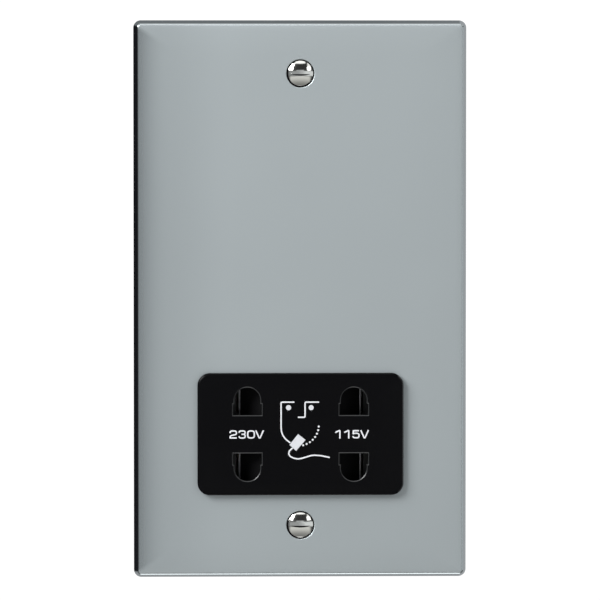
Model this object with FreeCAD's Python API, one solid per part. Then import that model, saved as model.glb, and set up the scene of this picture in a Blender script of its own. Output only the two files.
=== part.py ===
"""Dual-voltage shaver socket on a bright steel plate, modelled piece by piece.

Millimetres, +Z up, and the front faces -Y. The origin lies on the wall plane, midway between the two
fixing screws, and +Y runs back into the wall box.
"""
import FreeCAD, Part
import math
import os

Vector = FreeCAD.Vector
ALONG_X = Vector(1, 0, 0)
ALONG_Y = Vector(0, 1, 0)
ALONG_Z = Vector(0, 0, 1)
SIDES = (-1, 1)

# Plate: a pressed sheet tray
PLATE_W = 89.0
PLATE_H = 149.0
PLATE_D = 4.5
SHEET = 1.2
PLATE_CORNER_R = 2.8
PLATE_DRAFT = 0.8
PLATE_EDGE_R = 0.6

# Fixing screws and their countersunk seats
FIX_PITCH = 120.6
FIX_THREAD_R = 1.75
FIX_NECK_R = 1.5
FIX_HEAD_R = 3.4
FIX_DOME = 0.9
FIX_SLOT_W = 1.0
FIX_SLOT_D = 0.9
FIX_REACH = 22.0
SEAT_GAP = 0.1
SEAT_RIM_GAP = 0.35

# Black insert
INSERT_W = 55.0
INSERT_H = 32.6
INSERT_RISE = 24.45
INSERT_PROUD = 1.9
INSERT_CORNER_R = 3.3
INSERT_CHAMFER = 0.5
BEZEL_LAP = 1.0
FRONT_WALL = 2.2
SKIRT_WALL = 1.5
SKIRT_CORNER_R = 2.05
FIT_GAP = 0.25
SKIRT_END_GAP = 0.1

# D-shaped pin apertures, measured from the insert's centre
AP_X = 14.2
AP_FLAT = 5.1
AP_TIP_MARGIN = 1.05
AP_ARCH_W = 6.9
AP_BASE_W = 7.65
AP_BASE_H = 3.0
AP_CHAMFER = 0.25

# Screws that clamp the insert to the parts behind it
SOCKET_SCREW_R = 1.25
SOCKET_SCREW_ACROSS = 4.8
SOCKET_SCREW_HEAD_H = 1.8
BOSS_HALF = 2.4
BOSS_INSET = 2.55
PILOT_BOTTOM = 0.8
TIP_GAP = 0.4
THREAD_GAP = 0.03
SCREW_HOLE_GAP = 0.2

# Shutter slider with its ramps, switch paddle and spring pockets
SLIDER_T = 5.5
SLIDER_GAP = 0.3
SLIDER_SIDE_GAP = 0.35
SHUTTER_EDGE = 2.2
RAMP_LEAD = 0.2
RAMP_LAND = 0.8
TRAVEL = 5.2
STOP_GAP = 0.3
BAR_MARGIN = 0.8
PADDLE_W = 5.0
PADDLE_H = 3.2
PADDLE_LEN = 7.4
PADDLE_EDGE_R = 0.4

# Return springs
SPRING_OD = 3.5
SPRING_WIRE = 0.45
SPRING_TURNS = 5
SPRING_CHORDS = 8
SPRING_END_GAP = 0.05
POCKET_HALF = 2.1
POCKET_DEPTH = 7.8
PEG_HALF = 0.75
PEG_LEN = 2.0

# Chassis moulding behind the plate
CHASSIS_T = 2.2
CHASSIS_GAP = 0.3

# Contact carrier
CARRIER_LAP = 2.5
CARRIER_WALL = 1.5
CARRIER_CORNER_CUT = 1.5
DECK_T = 2.0
DECK_SLOT_HALF = 2.8
CHAMBER_DEPTH = 13.1
CHAMBER_GAP = 0.2
CHAMBER_TIP_GAP = 1.1
CHAMBER_WALL = 1.1
SWITCH_HALF_W = 9.6
COLUMN_HALF = 2.8

# Leaf contacts and switch strips
FOLD_SINE = 0.9
LEAF_T = 0.5
LEAF_W = 4.4
LEAF_SEAT_GAP = 0.15
LEAF_FRONT_GAP = 1.0
LEAF_FOLD = 1.7
LEAF_BOW = 1.4
LEAF_REAR_GAP = 1.5
TAIL_W = 3.0
TAIL_LEN = 3.5
TAIL_SLOT_GAP = 0.25
STRIP_T = 0.4
STRIP_W = 2.6
STRIP_FRONT = 2.4
STRIP_HALF_LEN = 9.2
STRIP_TAIL_W = 2.2
HUMP_TOP = 0.8
HUMP_RUN = 1.5
HUMP_GAP = 0.1
BRIDGE_W = 4.0
BRIDGE_GRIP = 3.2

# Terminal block, terminals and earth strap
BLOCK_T = 2.0
CELL_WALL = 1.2
CELL_EDGE = 0.2
CELL_LENGTH = 10.4
BRASS_W = 7.6
BRASS_D = 7.6
BRASS_GAP = 0.2
BRASS_CHAMFER = 0.4
WIRE_R = 1.9
WIRE_DEPTH = 6.0
WIRE_INSET = 3.1
WIRE_MOUTH_GAP = 0.35
TERM_SCREW_R = 1.75
TERM_SCREW_PROUD = 1.4
TERM_SLOT_W = 0.8
TERM_SLOT_D = 0.9
TERM_SCREW_TIP_GAP = 0.15
SHROUD_RISE = 1.0
NEUTRAL_X = -8.5
EARTH_X = 13.0
STRAP_T = 0.5
STRAP_W = 5.0
STRAP_GAP = 0.3
STRAP_FOOT = 3.2
STRAP_TAB = 6.0
STRAP_CLEARANCE = 0.4

# Transformer: scrapless E and I laminations, so one leg width gives the core's pattern
CORE_LEG = 16.0
STACK = 20.0
CORE_Z = 22.0
CORE_HOLE_R = 1.7
CORE_BOLT_R = 1.5
CORE_BOLT_ACROSS = 5.5
CORE_BOLT_HEAD_H = 2.0
POST_HALF = 3.0
POST_H = 8.3
POST_PILOT_FLOOR = 0.6
BOBBIN_GAP = 0.2
BOBBIN_WALL = 1.0
BOBBIN_END_GAP = 0.25
FLANGE_T = 1.0
FLANGE_RISE = 0.5
WINDING_BUILD = 5.2
WINDING_R = 1.8
WINDING_GAP = 0.1
CUTOUT_L = 10.0
CUTOUT_W = 7.0
CUTOUT_T = 2.4
CUTOUT_GAP = 0.1

# Leads inside the unit
LEAD_R = 0.8
LINK_R = 0.6
LEAD_GAP = 0.05
LEAD_BEND = 2.4
LEAD_CROSS_BEND = 1.1
LEAD_CROSS_DROP = 14.0
LEAD_NEAR = 1.4
LEAD_FAR = 1.2
LEAD_ENTRY = 4.2
LEAD_INNER_X = 2.4
LEAD_MIDDLE_X = 5.6
LEAD_OUTER_X = 8.8
LEAD_EDGE = 2.1
LEAD_SPREAD = 1.4
LEAD_MARGIN = 1.0

# Rear cover
COVER_WALL = 1.8
COVER_REAR_WALL = 2.0
COVER_SIDE_GAP = 4.0
COVER_END_GAP = 2.0
COVER_REAR_GAP = 0.5
COVER_CORNER_CUT = 4.0
COVER_CHAMFER = 2.0
EAR_HALF = 3.6
EAR_CHAMFER = 1.5
EAR_OFFSET = 3.4
EAR_T = 2.5
EAR_BOSS_HALF = 3.0
EAR_BOSS_H = 7.0
COVER_SCREW_R = 1.45
COVER_SCREW_LEN = 7.5
COVER_SCREW_ACROSS = 5.0
COVER_SCREW_HEAD_H = 1.9
VENT_L = 15.0
VENT_W = 1.8
VENT_PITCH = 4.2
VENT_ROWS = 9
VENT_X = 10.0
LEAD_SLOT_W = 26.0
LEAD_SLOT_H = 5.0
LEAD_SLOT_Y = 32.4
RIB_T = 1.2
RIB_H = 3.0
RIB_L = 14.0
RIB_GAP = 0.3

# Places worked out from the sizes above
PLATE_FRONT = -PLATE_D
PLATE_BACK = PLATE_FRONT + SHEET
FIX_Z = FIX_PITCH / 2
SEAT_R = FIX_HEAD_R + SEAT_RIM_GAP
SEAT_BACK_R = FIX_HEAD_R - SHEET + SEAT_GAP
CHASSIS_BACK = PLATE_BACK + CHASSIS_T
CHASSIS_INSET = SHEET + PLATE_DRAFT + CHASSIS_GAP
INSERT_Z = INSERT_RISE - FIX_Z
INSERT_FRONT = PLATE_FRONT - INSERT_PROUD
WALL_BACK = INSERT_FRONT + FRONT_WALL
WINDOW_W = INSERT_W - 2 * BEZEL_LAP
WINDOW_H = INSERT_H - 2 * BEZEL_LAP
WINDOW_R = INSERT_CORNER_R - BEZEL_LAP
SKIRT_W = WINDOW_W - 2 * FIT_GAP
SKIRT_H = WINDOW_H - 2 * FIT_GAP
CAVITY_W = SKIRT_W - 2 * SKIRT_WALL
CAVITY_H = SKIRT_H - 2 * SKIRT_WALL
AP_TIP = CAVITY_H / 2 - AP_TIP_MARGIN
SLIDER_FRONT = WALL_BACK + SLIDER_GAP
SLIDER_REAR = SLIDER_FRONT + SLIDER_T
SLIDER_MID_Y = (SLIDER_FRONT + SLIDER_REAR) / 2
SLIDER_HALF_W = AP_X + SHUTTER_EDGE
SLIDER_HALF_H = CAVITY_H / 2 - SLIDER_SIDE_GAP
RAMP_X = AP_X - AP_BASE_W / 2 + RAMP_LEAD
BAR_HALF_H = AP_FLAT - BAR_MARGIN
SOCKET_SCREW_V = CAVITY_H / 2 - BOSS_INSET
NOTCH_HALF_W = BOSS_HALF + TRAVEL + STOP_GAP
NOTCH_FLOOR = SOCKET_SCREW_V - BOSS_HALF - SLIDER_SIDE_GAP
POCKET_X = SLIDER_HALF_W - POCKET_DEPTH
PADDLE_END = SLIDER_REAR + PADDLE_LEN
DECK_FRONT = SLIDER_REAR + SLIDER_GAP
DECK_REAR = DECK_FRONT + DECK_T
SKIRT_END = DECK_FRONT - SKIRT_END_GAP
PILOT_FRONT = WALL_BACK + PILOT_BOTTOM
CARRIER_W = WINDOW_W + 2 * CARRIER_LAP
CARRIER_H = WINDOW_H + 2 * CARRIER_LAP
CARRIER_REAR = DECK_REAR + CHAMBER_DEPTH
CARRIER_BOTTOM = INSERT_Z - CARRIER_H / 2
CHAMBER_HALF_W = AP_BASE_W / 2 + CHAMBER_GAP
CHAMBER_TOP = AP_TIP + CHAMBER_TIP_GAP
SWITCH_HALF_H = AP_FLAT - CHAMBER_WALL
BLOCK_REAR = CARRIER_REAR + BLOCK_T
TAIL_END = BLOCK_REAR + TAIL_LEN
LINE_X = NEUTRAL_X - (BRASS_W + 2 * BRASS_GAP + CELL_WALL)
CELL_BOTTOM = CARRIER_BOTTOM + CELL_EDGE
CELL_TOP = CELL_BOTTOM + CELL_LENGTH
BRASS_FRONT = BLOCK_REAR + STRAP_T + BRASS_GAP / 2
BRASS_REAR = BRASS_FRONT + BRASS_D
BRASS_BOTTOM = CELL_BOTTOM + CELL_WALL + BRASS_GAP
BRASS_TOP = CELL_TOP - CELL_WALL - BRASS_GAP
BRASS_Z = (BRASS_BOTTOM + BRASS_TOP) / 2
WIRE_Y = BRASS_FRONT + WIRE_INSET
SHROUD_REAR = BRASS_REAR + TERM_SCREW_PROUD + SHROUD_RISE
STRAP_Z = CARRIER_BOTTOM - STRAP_GAP - STRAP_T / 2
STACK_FRONT = CHASSIS_BACK + POST_H
STACK_REAR = STACK_FRONT + STACK
STACK_MID = (STACK_FRONT + STACK_REAR) / 2
CORE_HALF_W = 1.25 * CORE_LEG
CORE_HALF_H = 1.5 * CORE_LEG
WINDOW_HALF_L = 0.75 * CORE_LEG
CORE_BOLT_X = CORE_HALF_W - CORE_LEG / 4
CORE_BOLT_V = CORE_HALF_H - CORE_LEG / 4
TUBE_HALF_H = CORE_LEG / 2 + BOBBIN_GAP + BOBBIN_WALL
TUBE_HALF_D = STACK / 2 + BOBBIN_GAP + BOBBIN_WALL
BOBBIN_HALF_L = WINDOW_HALF_L - BOBBIN_END_GAP
CUTOUT_FRONT = STACK_MID + TUBE_HALF_D + WINDING_BUILD + CUTOUT_GAP
CUTOUT_REAR = CUTOUT_FRONT + CUTOUT_T
COVER_REAR = CUTOUT_REAR + COVER_REAR_GAP + COVER_REAR_WALL
COVER_IN_W = 2 * (CORE_HALF_W + COVER_SIDE_GAP)
COVER_IN_H = 2 * (CORE_HALF_H + COVER_END_GAP)
COVER_W = COVER_IN_W + 2 * COVER_WALL
COVER_H = COVER_IN_H + 2 * COVER_WALL
COVER_BOTTOM = CORE_Z - COVER_H / 2
WINDING_BOTTOM = CORE_Z - TUBE_HALF_H - WINDING_BUILD
LEAD_NEAR_Y = LEAD_SLOT_Y - LEAD_NEAR
LEAD_FAR_Y = LEAD_SLOT_Y + LEAD_FAR
LEAD_ENTRY_Z = COVER_BOTTOM - LEAD_ENTRY
EAR_X = COVER_W / 2 + EAR_OFFSET
EAR_FRONT = CHASSIS_BACK + EAR_BOSS_H
EAR_REAR = EAR_FRONT + EAR_T


def in_xz(y):
    """Plane of the front face, at depth y."""
    return lambda u, v: Vector(u, y, v)


def in_yz(x):
    """Side plane at x, with u along Y and v along Z."""
    return lambda u, v: Vector(x, u, v)


def in_xy(z):
    """Level plane at height z."""
    return lambda u, v: Vector(u, v, z)


def round_corner(before, corner, after, radius):
    """Start, middle and end of the arc that rounds one corner of an outline."""
    arriving = (corner - before).normalize()
    leaving = (after - corner).normalize()
    half_turn = arriving.getAngle(leaving) / 2
    reach = radius * math.tan(half_turn)
    start = corner - arriving * reach
    end = corner + leaving * reach
    inward = (leaving - arriving).normalize()
    middle = corner + inward * (radius / math.cos(half_turn) - radius)
    return start, middle, end


def face_of(points, radii, place):
    """Flat face inside a closed outline of 2D points, each corner rounded by its own radius."""
    flat = [Vector(u, v, 0) for u, v in points]
    arcs = []
    for i, corner in enumerate(flat):
        if radii[i] > 0:
            arcs.append(round_corner(flat[i - 1], corner, flat[(i + 1) % len(flat)], radii[i]))
        else:
            arcs.append((corner, None, corner))
    edges = []
    for i, (start, middle, end) in enumerate(arcs):
        if middle is not None:
            ends = [place(p.x, p.y) for p in (start, middle, end)]
            edges.append(Part.Arc(*ends).toShape())
        following = arcs[(i + 1) % len(arcs)][0]
        if end.distanceToPoint(following) > 1e-6:
            edges.append(Part.makeLine(place(end.x, end.y), place(following.x, following.y)))
    return Part.Face(Part.Wire(edges))


def rectangle(width, height, x=0.0, z=0.0):
    """Corner points of a rectangle about a centre."""
    return [(x + i * width / 2, z + j * height / 2) for i, j in ((-1, -1), (1, -1), (1, 1), (-1, 1))]


def rounded_block(width, height, radius, y, x=0.0, z=0.0):
    """Rounded rectangle in the front plane, running from y[0] to y[1]."""
    face = face_of(rectangle(width, height, x, z), [radius] * 4, in_xz(y[0]))
    return face.extrude(ALONG_Y * (y[1] - y[0]))


def tapered_block(width, height, radius, draft, y):
    """Rounded rectangle that is full size at y[1] and smaller by the draft on every side at y[0]."""
    w = width / 2
    h = height / 2
    flat_w = w - radius
    flat_h = h - radius
    front, back = y
    wide = Part.makeWedge(
        draft - w, front, -flat_h, -flat_h, -w, w - draft, back, flat_h, flat_h, w
    )
    tall = Part.makeWedge(
        -flat_w, front, draft - h, -h, -flat_w, flat_w, back, h - draft, h, flat_w
    )
    corners = [cone((radius - draft, radius), y, i * flat_w, j * flat_h) for i in SIDES for j in SIDES]
    return wide.fuse([tall] + corners).removeSplitter()


def cut_block(width, height, cut, y, z):
    """Rectangle with its corners cut off, running from y[0] to y[1]."""
    w = width / 2
    h = height / 2
    quarter = [(w, h - cut), (w - cut, h)]
    half = quarter + [(-u, v) for u, v in quarter[::-1]]
    points = [(u, z + v) for u, v in half] + [(-u, z - v) for u, v in half]
    return face_of(points, [0.0] * len(points), in_xz(y[0])).extrude(ALONG_Y * (y[1] - y[0]))


def block(x, y, z):
    """Plain box between pairs of limits."""
    return Part.makeBox(x[1] - x[0], y[1] - y[0], z[1] - z[0], Vector(x[0], y[0], z[0]))


def about(middle, half):
    """Pair of limits on both sides of a middle value."""
    return middle - half, middle + half


def ordered(a, b):
    """Pair of limits in rising order."""
    return min(a, b), max(a, b)


def rod(radius, y, x, z):
    """Cylinder along Y."""
    return Part.makeCylinder(radius, y[1] - y[0], Vector(x, y[0], z), ALONG_Y)


def cone(radii, y, x, z):
    """Cone frustum along Y, from radii[0] at y[0] to radii[1] at y[1]."""
    return Part.makeCone(radii[0], radii[1], y[1] - y[0], Vector(x, y[0], z), ALONG_Y)


def edges_at(shape, y):
    """Edges of a shape that lie in the plane at depth y."""
    found = []
    for edge in shape.Edges:
        box = edge.BoundBox
        if abs(box.YMin - y) < 1e-4 and abs(box.YMax - y) < 1e-4:
            found.append(edge)
    return found


def strip_face(path, thickness, place):
    """Section of a bent strip along an open 2D path; square folds are round outside."""
    points = [Vector(u, v, 0) for u, v in path]
    runs = [(b - a).normalize() for a, b in zip(points, points[1:])]
    normals = [Vector(-d.y, d.x, 0) for d in runs]
    left, right = [], []
    for i, point in enumerate(points):
        one = normals[max(i - 1, 0)]
        two = normals[min(i, len(normals) - 1)]
        offset = (one + two) * (thickness / 2 / (1 + one.dot(two)))
        turn = one.cross(two).z
        left.append((point + offset, thickness if turn < -FOLD_SINE else 0.0))
        right.append((point - offset, thickness if turn > FOLD_SINE else 0.0))
    loop = right + left[::-1]
    return face_of([(p.x, p.y) for p, r in loop], [r for p, r in loop], place)


def skin(rings):
    """Solid inside a row of point rings, closed by a flat face at each end."""
    faces = [Part.Face(Part.makePolygon(end + end[:1])) for end in (rings[0], rings[-1])]
    for one, two in zip(rings, rings[1:]):
        for k in range(len(one)):
            after = (k + 1) % len(one)
            faces.append(Part.Face(Part.makePolygon([one[k], one[after], two[after], one[k]])))
            faces.append(Part.Face(Part.makePolygon([one[k], two[after], two[k], one[k]])))
    solid = Part.makeSolid(Part.makeShell(faces))
    return solid if solid.Volume > 0 else solid.reversed()


def wire_along(points, radius):
    """Wire of hexagonal section along a path, with mitred bends."""
    path = [Vector(*point) for point in points]
    runs = [(b - a).normalize() for a, b in zip(path, path[1:])]
    across = runs[0].cross(ALONG_X if abs(runs[0].x) < 0.5 else ALONG_Y).normalize()
    beside = runs[0].cross(across)
    turns = [math.radians(60 * k) for k in range(6)]
    rings = [[path[0] + (across * math.cos(a) + beside * math.sin(a)) * radius for a in turns]]
    for i, run in enumerate(runs):
        mitre = run + runs[min(i + 1, len(runs) - 1)]
        end = path[i + 1]
        rings.append([q + run * ((end - q).dot(mitre) / run.dot(mitre)) for q in rings[-1]])
    return skin(rings).removeSplitter()


def hex_screw(radius, length, across, head_h, seat, x, z):
    """Hexagon-head screw driven from behind, with its head on the plane y = seat."""
    corner = across / math.sqrt(3)
    turns = [math.radians(60 * i) for i in range(6)]
    points = [(x + corner * math.cos(a), z + corner * math.sin(a)) for a in turns]
    head = face_of(points, [0.0] * len(points), in_xz(seat)).extrude(ALONG_Y * head_h)
    return head.fuse(rod(radius, (seat - length, seat), x, z)).removeSplitter()


def two_places(spread, z):
    """Two places on x = 0, above and below z."""
    return [(0.0, z + j * spread) for j in SIDES]


FIX_PLACES = two_places(FIX_Z, 0.0)
SOCKET_SCREW_PLACES = two_places(SOCKET_SCREW_V, INSERT_Z)
POST_PLACES = [(i * CORE_BOLT_X, CORE_Z + j * CORE_BOLT_V) for i in SIDES for j in SIDES]
CORE_BOLT_PLACES = [(i * CORE_BOLT_X, CORE_Z + i * CORE_BOLT_V) for i in SIDES]
EAR_PLACES = [(i * EAR_X, CORE_Z) for i in SIDES]
TERMINAL_PLACES = (LINE_X, NEUTRAL_X, EARTH_X)


def front_plate():
    """Pressed tray with splayed sides, a round front edge, the insert's window and two screw seats."""
    tray = tapered_block(PLATE_W, PLATE_H, PLATE_CORNER_R, PLATE_DRAFT, (PLATE_FRONT, 0.0))
    tray = tray.makeFillet(PLATE_EDGE_R, edges_at(tray, PLATE_FRONT))
    inside_w = PLATE_W - 2 * SHEET
    inside_h = PLATE_H - 2 * SHEET
    inside_draft = PLATE_DRAFT * PLATE_BACK / PLATE_FRONT
    inside = tapered_block(inside_w, inside_h, PLATE_CORNER_R - SHEET, inside_draft, (PLATE_BACK, 0.0))
    window = rounded_block(WINDOW_W, WINDOW_H, WINDOW_R, (PLATE_FRONT, PLATE_BACK), z=INSERT_Z)
    seats = [cone((SEAT_R, SEAT_BACK_R), (PLATE_FRONT, PLATE_BACK), x, z) for x, z in FIX_PLACES]
    return tray.cut([inside, window] + seats).removeSplitter()


def fixing_screw(x, z):
    """Raised countersunk screw with one straight slot, level when tightened."""
    neck_start = PLATE_FRONT + FIX_HEAD_R - FIX_NECK_R
    crown = PLATE_FRONT - FIX_DOME
    dome_r = (FIX_HEAD_R**2 + FIX_DOME**2) / (2 * FIX_DOME)
    dome = Part.makeSphere(dome_r, Vector(x, crown + dome_r, z))
    cap = dome.common(rod(FIX_HEAD_R, (crown, PLATE_FRONT), x, z))
    head = cone((FIX_HEAD_R, FIX_NECK_R), (PLATE_FRONT, neck_start), x, z)
    neck = rod(FIX_NECK_R, (neck_start, CHASSIS_BACK), x, z)
    thread = rod(FIX_THREAD_R, (CHASSIS_BACK, FIX_REACH), x, z)
    slot = block(about(x, FIX_HEAD_R), (crown, crown + FIX_SLOT_D), about(z, FIX_SLOT_W / 2))
    return cap.fuse([head, neck, thread]).cut(slot).removeSplitter()


def plate_screws():
    """The two fixing screws."""
    return Part.makeCompound([fixing_screw(x, z) for x, z in FIX_PLACES])


def chassis():
    """Moulded panel inside the plate, with transformer posts, cover bosses and cover ribs."""
    panel_y = (PLATE_BACK, CHASSIS_BACK)
    panel_w = PLATE_W - 2 * CHASSIS_INSET
    panel_h = PLATE_H - 2 * CHASSIS_INSET
    panel = cut_block(panel_w, panel_h, PLATE_CORNER_R - SHEET, panel_y, 0.0)
    cuts = [block(about(0.0, WINDOW_W / 2), panel_y, about(INSERT_Z, WINDOW_H / 2))]
    for x, z in FIX_PLACES:
        cuts.append(rod(SEAT_R - SHEET, panel_y, x, z))
    strap_top = STRAP_Z + STRAP_T / 2 + STRAP_GAP / 2
    strap_bottom = -FIX_Z - STRAP_FOOT - STRAP_CLEARANCE
    half_strap = STRAP_W / 2 + STRAP_CLEARANCE
    cuts.append(block(about(EARTH_X, half_strap), panel_y, (strap_bottom, strap_top)))
    raised = []
    for x, z in POST_PLACES:
        raised.append(block(about(x, POST_HALF), (CHASSIS_BACK, STACK_FRONT), about(z, POST_HALF)))
    for x, z in CORE_BOLT_PLACES:
        cuts.append(rod(CORE_BOLT_R + THREAD_GAP, (CHASSIS_BACK + POST_PILOT_FLOOR, STACK_FRONT), x, z))
    for x, z in EAR_PLACES:
        raised.append(block(about(x, EAR_BOSS_HALF), (CHASSIS_BACK, EAR_FRONT), about(z, EAR_BOSS_HALF)))
        cuts.append(rod(COVER_SCREW_R + THREAD_GAP, (CHASSIS_BACK, EAR_FRONT), x, z))
    rib_y = (CHASSIS_BACK, CHASSIS_BACK + RIB_H)
    side_rib = COVER_IN_W / 2 - RIB_GAP - RIB_T / 2
    end_rib = COVER_IN_H / 2 - RIB_GAP - RIB_T / 2
    for side in SIDES:
        raised.append(block(about(side * side_rib, RIB_T / 2), rib_y, about(CORE_Z, RIB_L / 2)))
        raised.append(block(about(0.0, RIB_L / 2), rib_y, about(CORE_Z + side * end_rib, RIB_T / 2)))
        raised.append(block(about(side * CORE_BOLT_X, RIB_T / 2), rib_y, about(CORE_Z, CORE_BOLT_V)))
    return panel.fuse(raised).cut(cuts).removeSplitter()


def aperture(side, level, y):
    """D-shaped aperture tool: a wide base next to the middle line and a round tip away from it."""
    base = AP_BASE_W / 2
    arch = AP_ARCH_W / 2
    step = AP_FLAT + AP_BASE_H
    half = [(base, AP_FLAT), (base, step), (arch, step), (arch, AP_TIP)]
    shape = half + [(-u, v) for u, v in half[::-1]]
    radii = [0.0, 0.0, 0.0, arch, arch, 0.0, 0.0, 0.0]
    points = [(side * AP_X + u, INSERT_Z + level * v) for u, v in shape]
    return face_of(points, radii, in_xz(y[0])).extrude(ALONG_Y * (y[1] - y[0]))


def socket_front():
    """Black insert: bezel, skirt through the plate, front wall with apertures, screw bosses and pegs."""
    bezel = rounded_block(INSERT_W, INSERT_H, INSERT_CORNER_R, (INSERT_FRONT, PLATE_FRONT), z=INSERT_Z)
    bezel = bezel.makeChamfer(INSERT_CHAMFER, edges_at(bezel, INSERT_FRONT))
    skirt = rounded_block(SKIRT_W, SKIRT_H, SKIRT_CORNER_R, (PLATE_FRONT, SKIRT_END), z=INSERT_Z)
    cavity = block(about(0.0, CAVITY_W / 2), (WALL_BACK, SKIRT_END), about(INSERT_Z, CAVITY_H / 2))
    shell = bezel.fuse(skirt).cut(cavity).removeSplitter()
    holes = [aperture(i, j, (INSERT_FRONT, WALL_BACK)) for i in SIDES for j in SIDES]
    shell = shell.cut(holes)
    raised = []
    pilots = []
    for x, z in SOCKET_SCREW_PLACES:
        level = math.copysign(1.0, z - INSERT_Z)
        boss_z = ordered(z - level * BOSS_HALF, INSERT_Z + level * (CAVITY_H + SKIRT_WALL) / 2)
        raised.append(block(about(x, BOSS_HALF), (WALL_BACK, SKIRT_END), boss_z))
        pilots.append(rod(SOCKET_SCREW_R + THREAD_GAP, (PILOT_FRONT, SKIRT_END), x, z))
    for side in SIDES:
        peg_x = ordered(side * (CAVITY_W / 2 - PEG_LEN), side * (CAVITY_W + SKIRT_WALL) / 2)
        raised.append(block(peg_x, about(SLIDER_MID_Y, PEG_HALF), about(INSERT_Z, PEG_HALF)))
    shell = shell.fuse(raised).cut(pilots).removeSplitter()
    rims = [edge for edge in edges_at(shell, INSERT_FRONT) if edge.BoundBox.DiagonalLength < AP_TIP]
    return shell.makeChamfer(AP_CHAMFER, rims)


def shutter_slider():
    """Sliding shutter: ramped arms behind the apertures, a bar with spring pockets and a switch paddle."""
    ramp_end = SLIDER_REAR - RAMP_LAND
    half = [(RAMP_X, SLIDER_FRONT), (SLIDER_HALF_W, ramp_end), (SLIDER_HALF_W, SLIDER_REAR)]
    profile = half + [(-u, v) for u, v in half[::-1]]
    arms = face_of(profile, [0.0] * len(profile), in_xy(INSERT_Z - SLIDER_HALF_H))
    arms = arms.extrude(ALONG_Z * 2 * SLIDER_HALF_H)
    depth = (SLIDER_FRONT, SLIDER_REAR)
    bar = block(about(0.0, SLIDER_HALF_W), depth, about(INSERT_Z, BAR_HALF_H))
    paddle = block(about(0.0, PADDLE_W / 2), (SLIDER_REAR, PADDLE_END), about(INSERT_Z, PADDLE_H / 2))
    ends = [edge for edge in edges_at(paddle, PADDLE_END) if edge.BoundBox.XLength > PADDLE_W / 2]
    paddle = paddle.makeFillet(PADDLE_EDGE_R, ends)
    cuts = []
    for side in SIDES:
        notch = ordered(INSERT_Z + side * NOTCH_FLOOR, INSERT_Z + side * SLIDER_HALF_H)
        cuts.append(block(about(0.0, NOTCH_HALF_W), depth, notch))
        pocket_x = ordered(side * POCKET_X, side * SLIDER_HALF_W)
        cuts.append(block(pocket_x, about(SLIDER_MID_Y, POCKET_HALF), about(INSERT_Z, POCKET_HALF)))
    return arms.fuse([bar, paddle]).cut(cuts).removeSplitter()


def return_spring(side):
    """Coil spring from the bottom of the shutter's pocket to the insert's side wall, in short chords."""
    half = SPRING_WIRE / 2
    start = POCKET_X + SPRING_END_GAP + half
    length = CAVITY_W / 2 - SPRING_END_GAP - half - start
    chords = SPRING_TURNS * SPRING_CHORDS
    rings = []
    for i in range(chords + 1):
        turn = 2 * math.pi * i / SPRING_CHORDS
        along = start + length * i / chords
        ring = []
        for u, v in ((-half, -half), (half, -half), (half, half), (-half, half)):
            reach = SPRING_OD / 2 - half + u
            y = SLIDER_MID_Y + reach * math.cos(turn)
            z = INSERT_Z + reach * math.sin(turn)
            ring.append(Vector(side * (along + v), y, z))
        rings.append(ring)
    return skin(rings)


def chamber(side, level, margin, y):
    """Space of one pin chamber, grown by a margin."""
    x = about(side * AP_X, CHAMBER_HALF_W + margin)
    z = ordered(INSERT_Z + level * (AP_FLAT - margin), INSERT_Z + level * (CHAMBER_TOP + margin))
    return block(x, y, z)


def deck_slot(side, level):
    """Slot through the carrier's deck, no wider than the pins, so that the shutter hides the contact."""
    z = ordered(INSERT_Z + level * (AP_FLAT + CHAMBER_GAP), INSERT_Z + level * (CHAMBER_TOP - CHAMBER_GAP))
    return block(about(side * AP_X, DECK_SLOT_HALF), (DECK_FRONT, DECK_REAR), z)


def contact_carrier():
    """Moulded box behind the shutter: skirt recess, deck, four pin chambers and the switch chamber."""
    body = cut_block(CARRIER_W, CARRIER_H, CARRIER_CORNER_CUT, (CHASSIS_BACK, CARRIER_REAR), INSERT_Z)
    recess = block(about(0.0, WINDOW_W / 2), (CHASSIS_BACK, DECK_FRONT), about(INSERT_Z, WINDOW_H / 2))
    behind = (DECK_REAR, CARRIER_REAR)
    hollow_w = about(0.0, CARRIER_W / 2 - CARRIER_WALL)
    hollow = block(hollow_w, behind, about(INSERT_Z, CARRIER_H / 2 - CARRIER_WALL))
    walls = [
        block(
            about(0.0, SWITCH_HALF_W + CHAMBER_WALL),
            behind,
            about(INSERT_Z, SWITCH_HALF_H + CHAMBER_WALL),
        )
    ]
    slot_half_w = PADDLE_W / 2 + TRAVEL + STOP_GAP
    slot_half_h = PADDLE_H / 2 + SLIDER_GAP
    cuts = [
        block(about(0.0, SWITCH_HALF_W), behind, about(INSERT_Z, SWITCH_HALF_H)),
        block(about(0.0, slot_half_w), (DECK_FRONT, DECK_REAR), about(INSERT_Z, slot_half_h)),
    ]
    for side in SIDES:
        for level in SIDES:
            walls.append(chamber(side, level, CHAMBER_WALL, behind))
            cuts.append(chamber(side, level, 0.0, behind))
            cuts.append(deck_slot(side, level))
    for x, z in SOCKET_SCREW_PLACES:
        walls.append(block(about(x, COLUMN_HALF), behind, about(z, COLUMN_HALF)))
        cuts.append(rod(SOCKET_SCREW_R + SCREW_HOLE_GAP, (DECK_FRONT, CARRIER_REAR), x, z))
    return body.cut([recess, hollow]).fuse(walls).cut(cuts).removeSplitter()


def leaf_seat():
    """Level of a leaf contact's base, measured from the insert's centre."""
    return AP_FLAT + LEAF_SEAT_GAP + LEAF_T / 2


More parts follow.
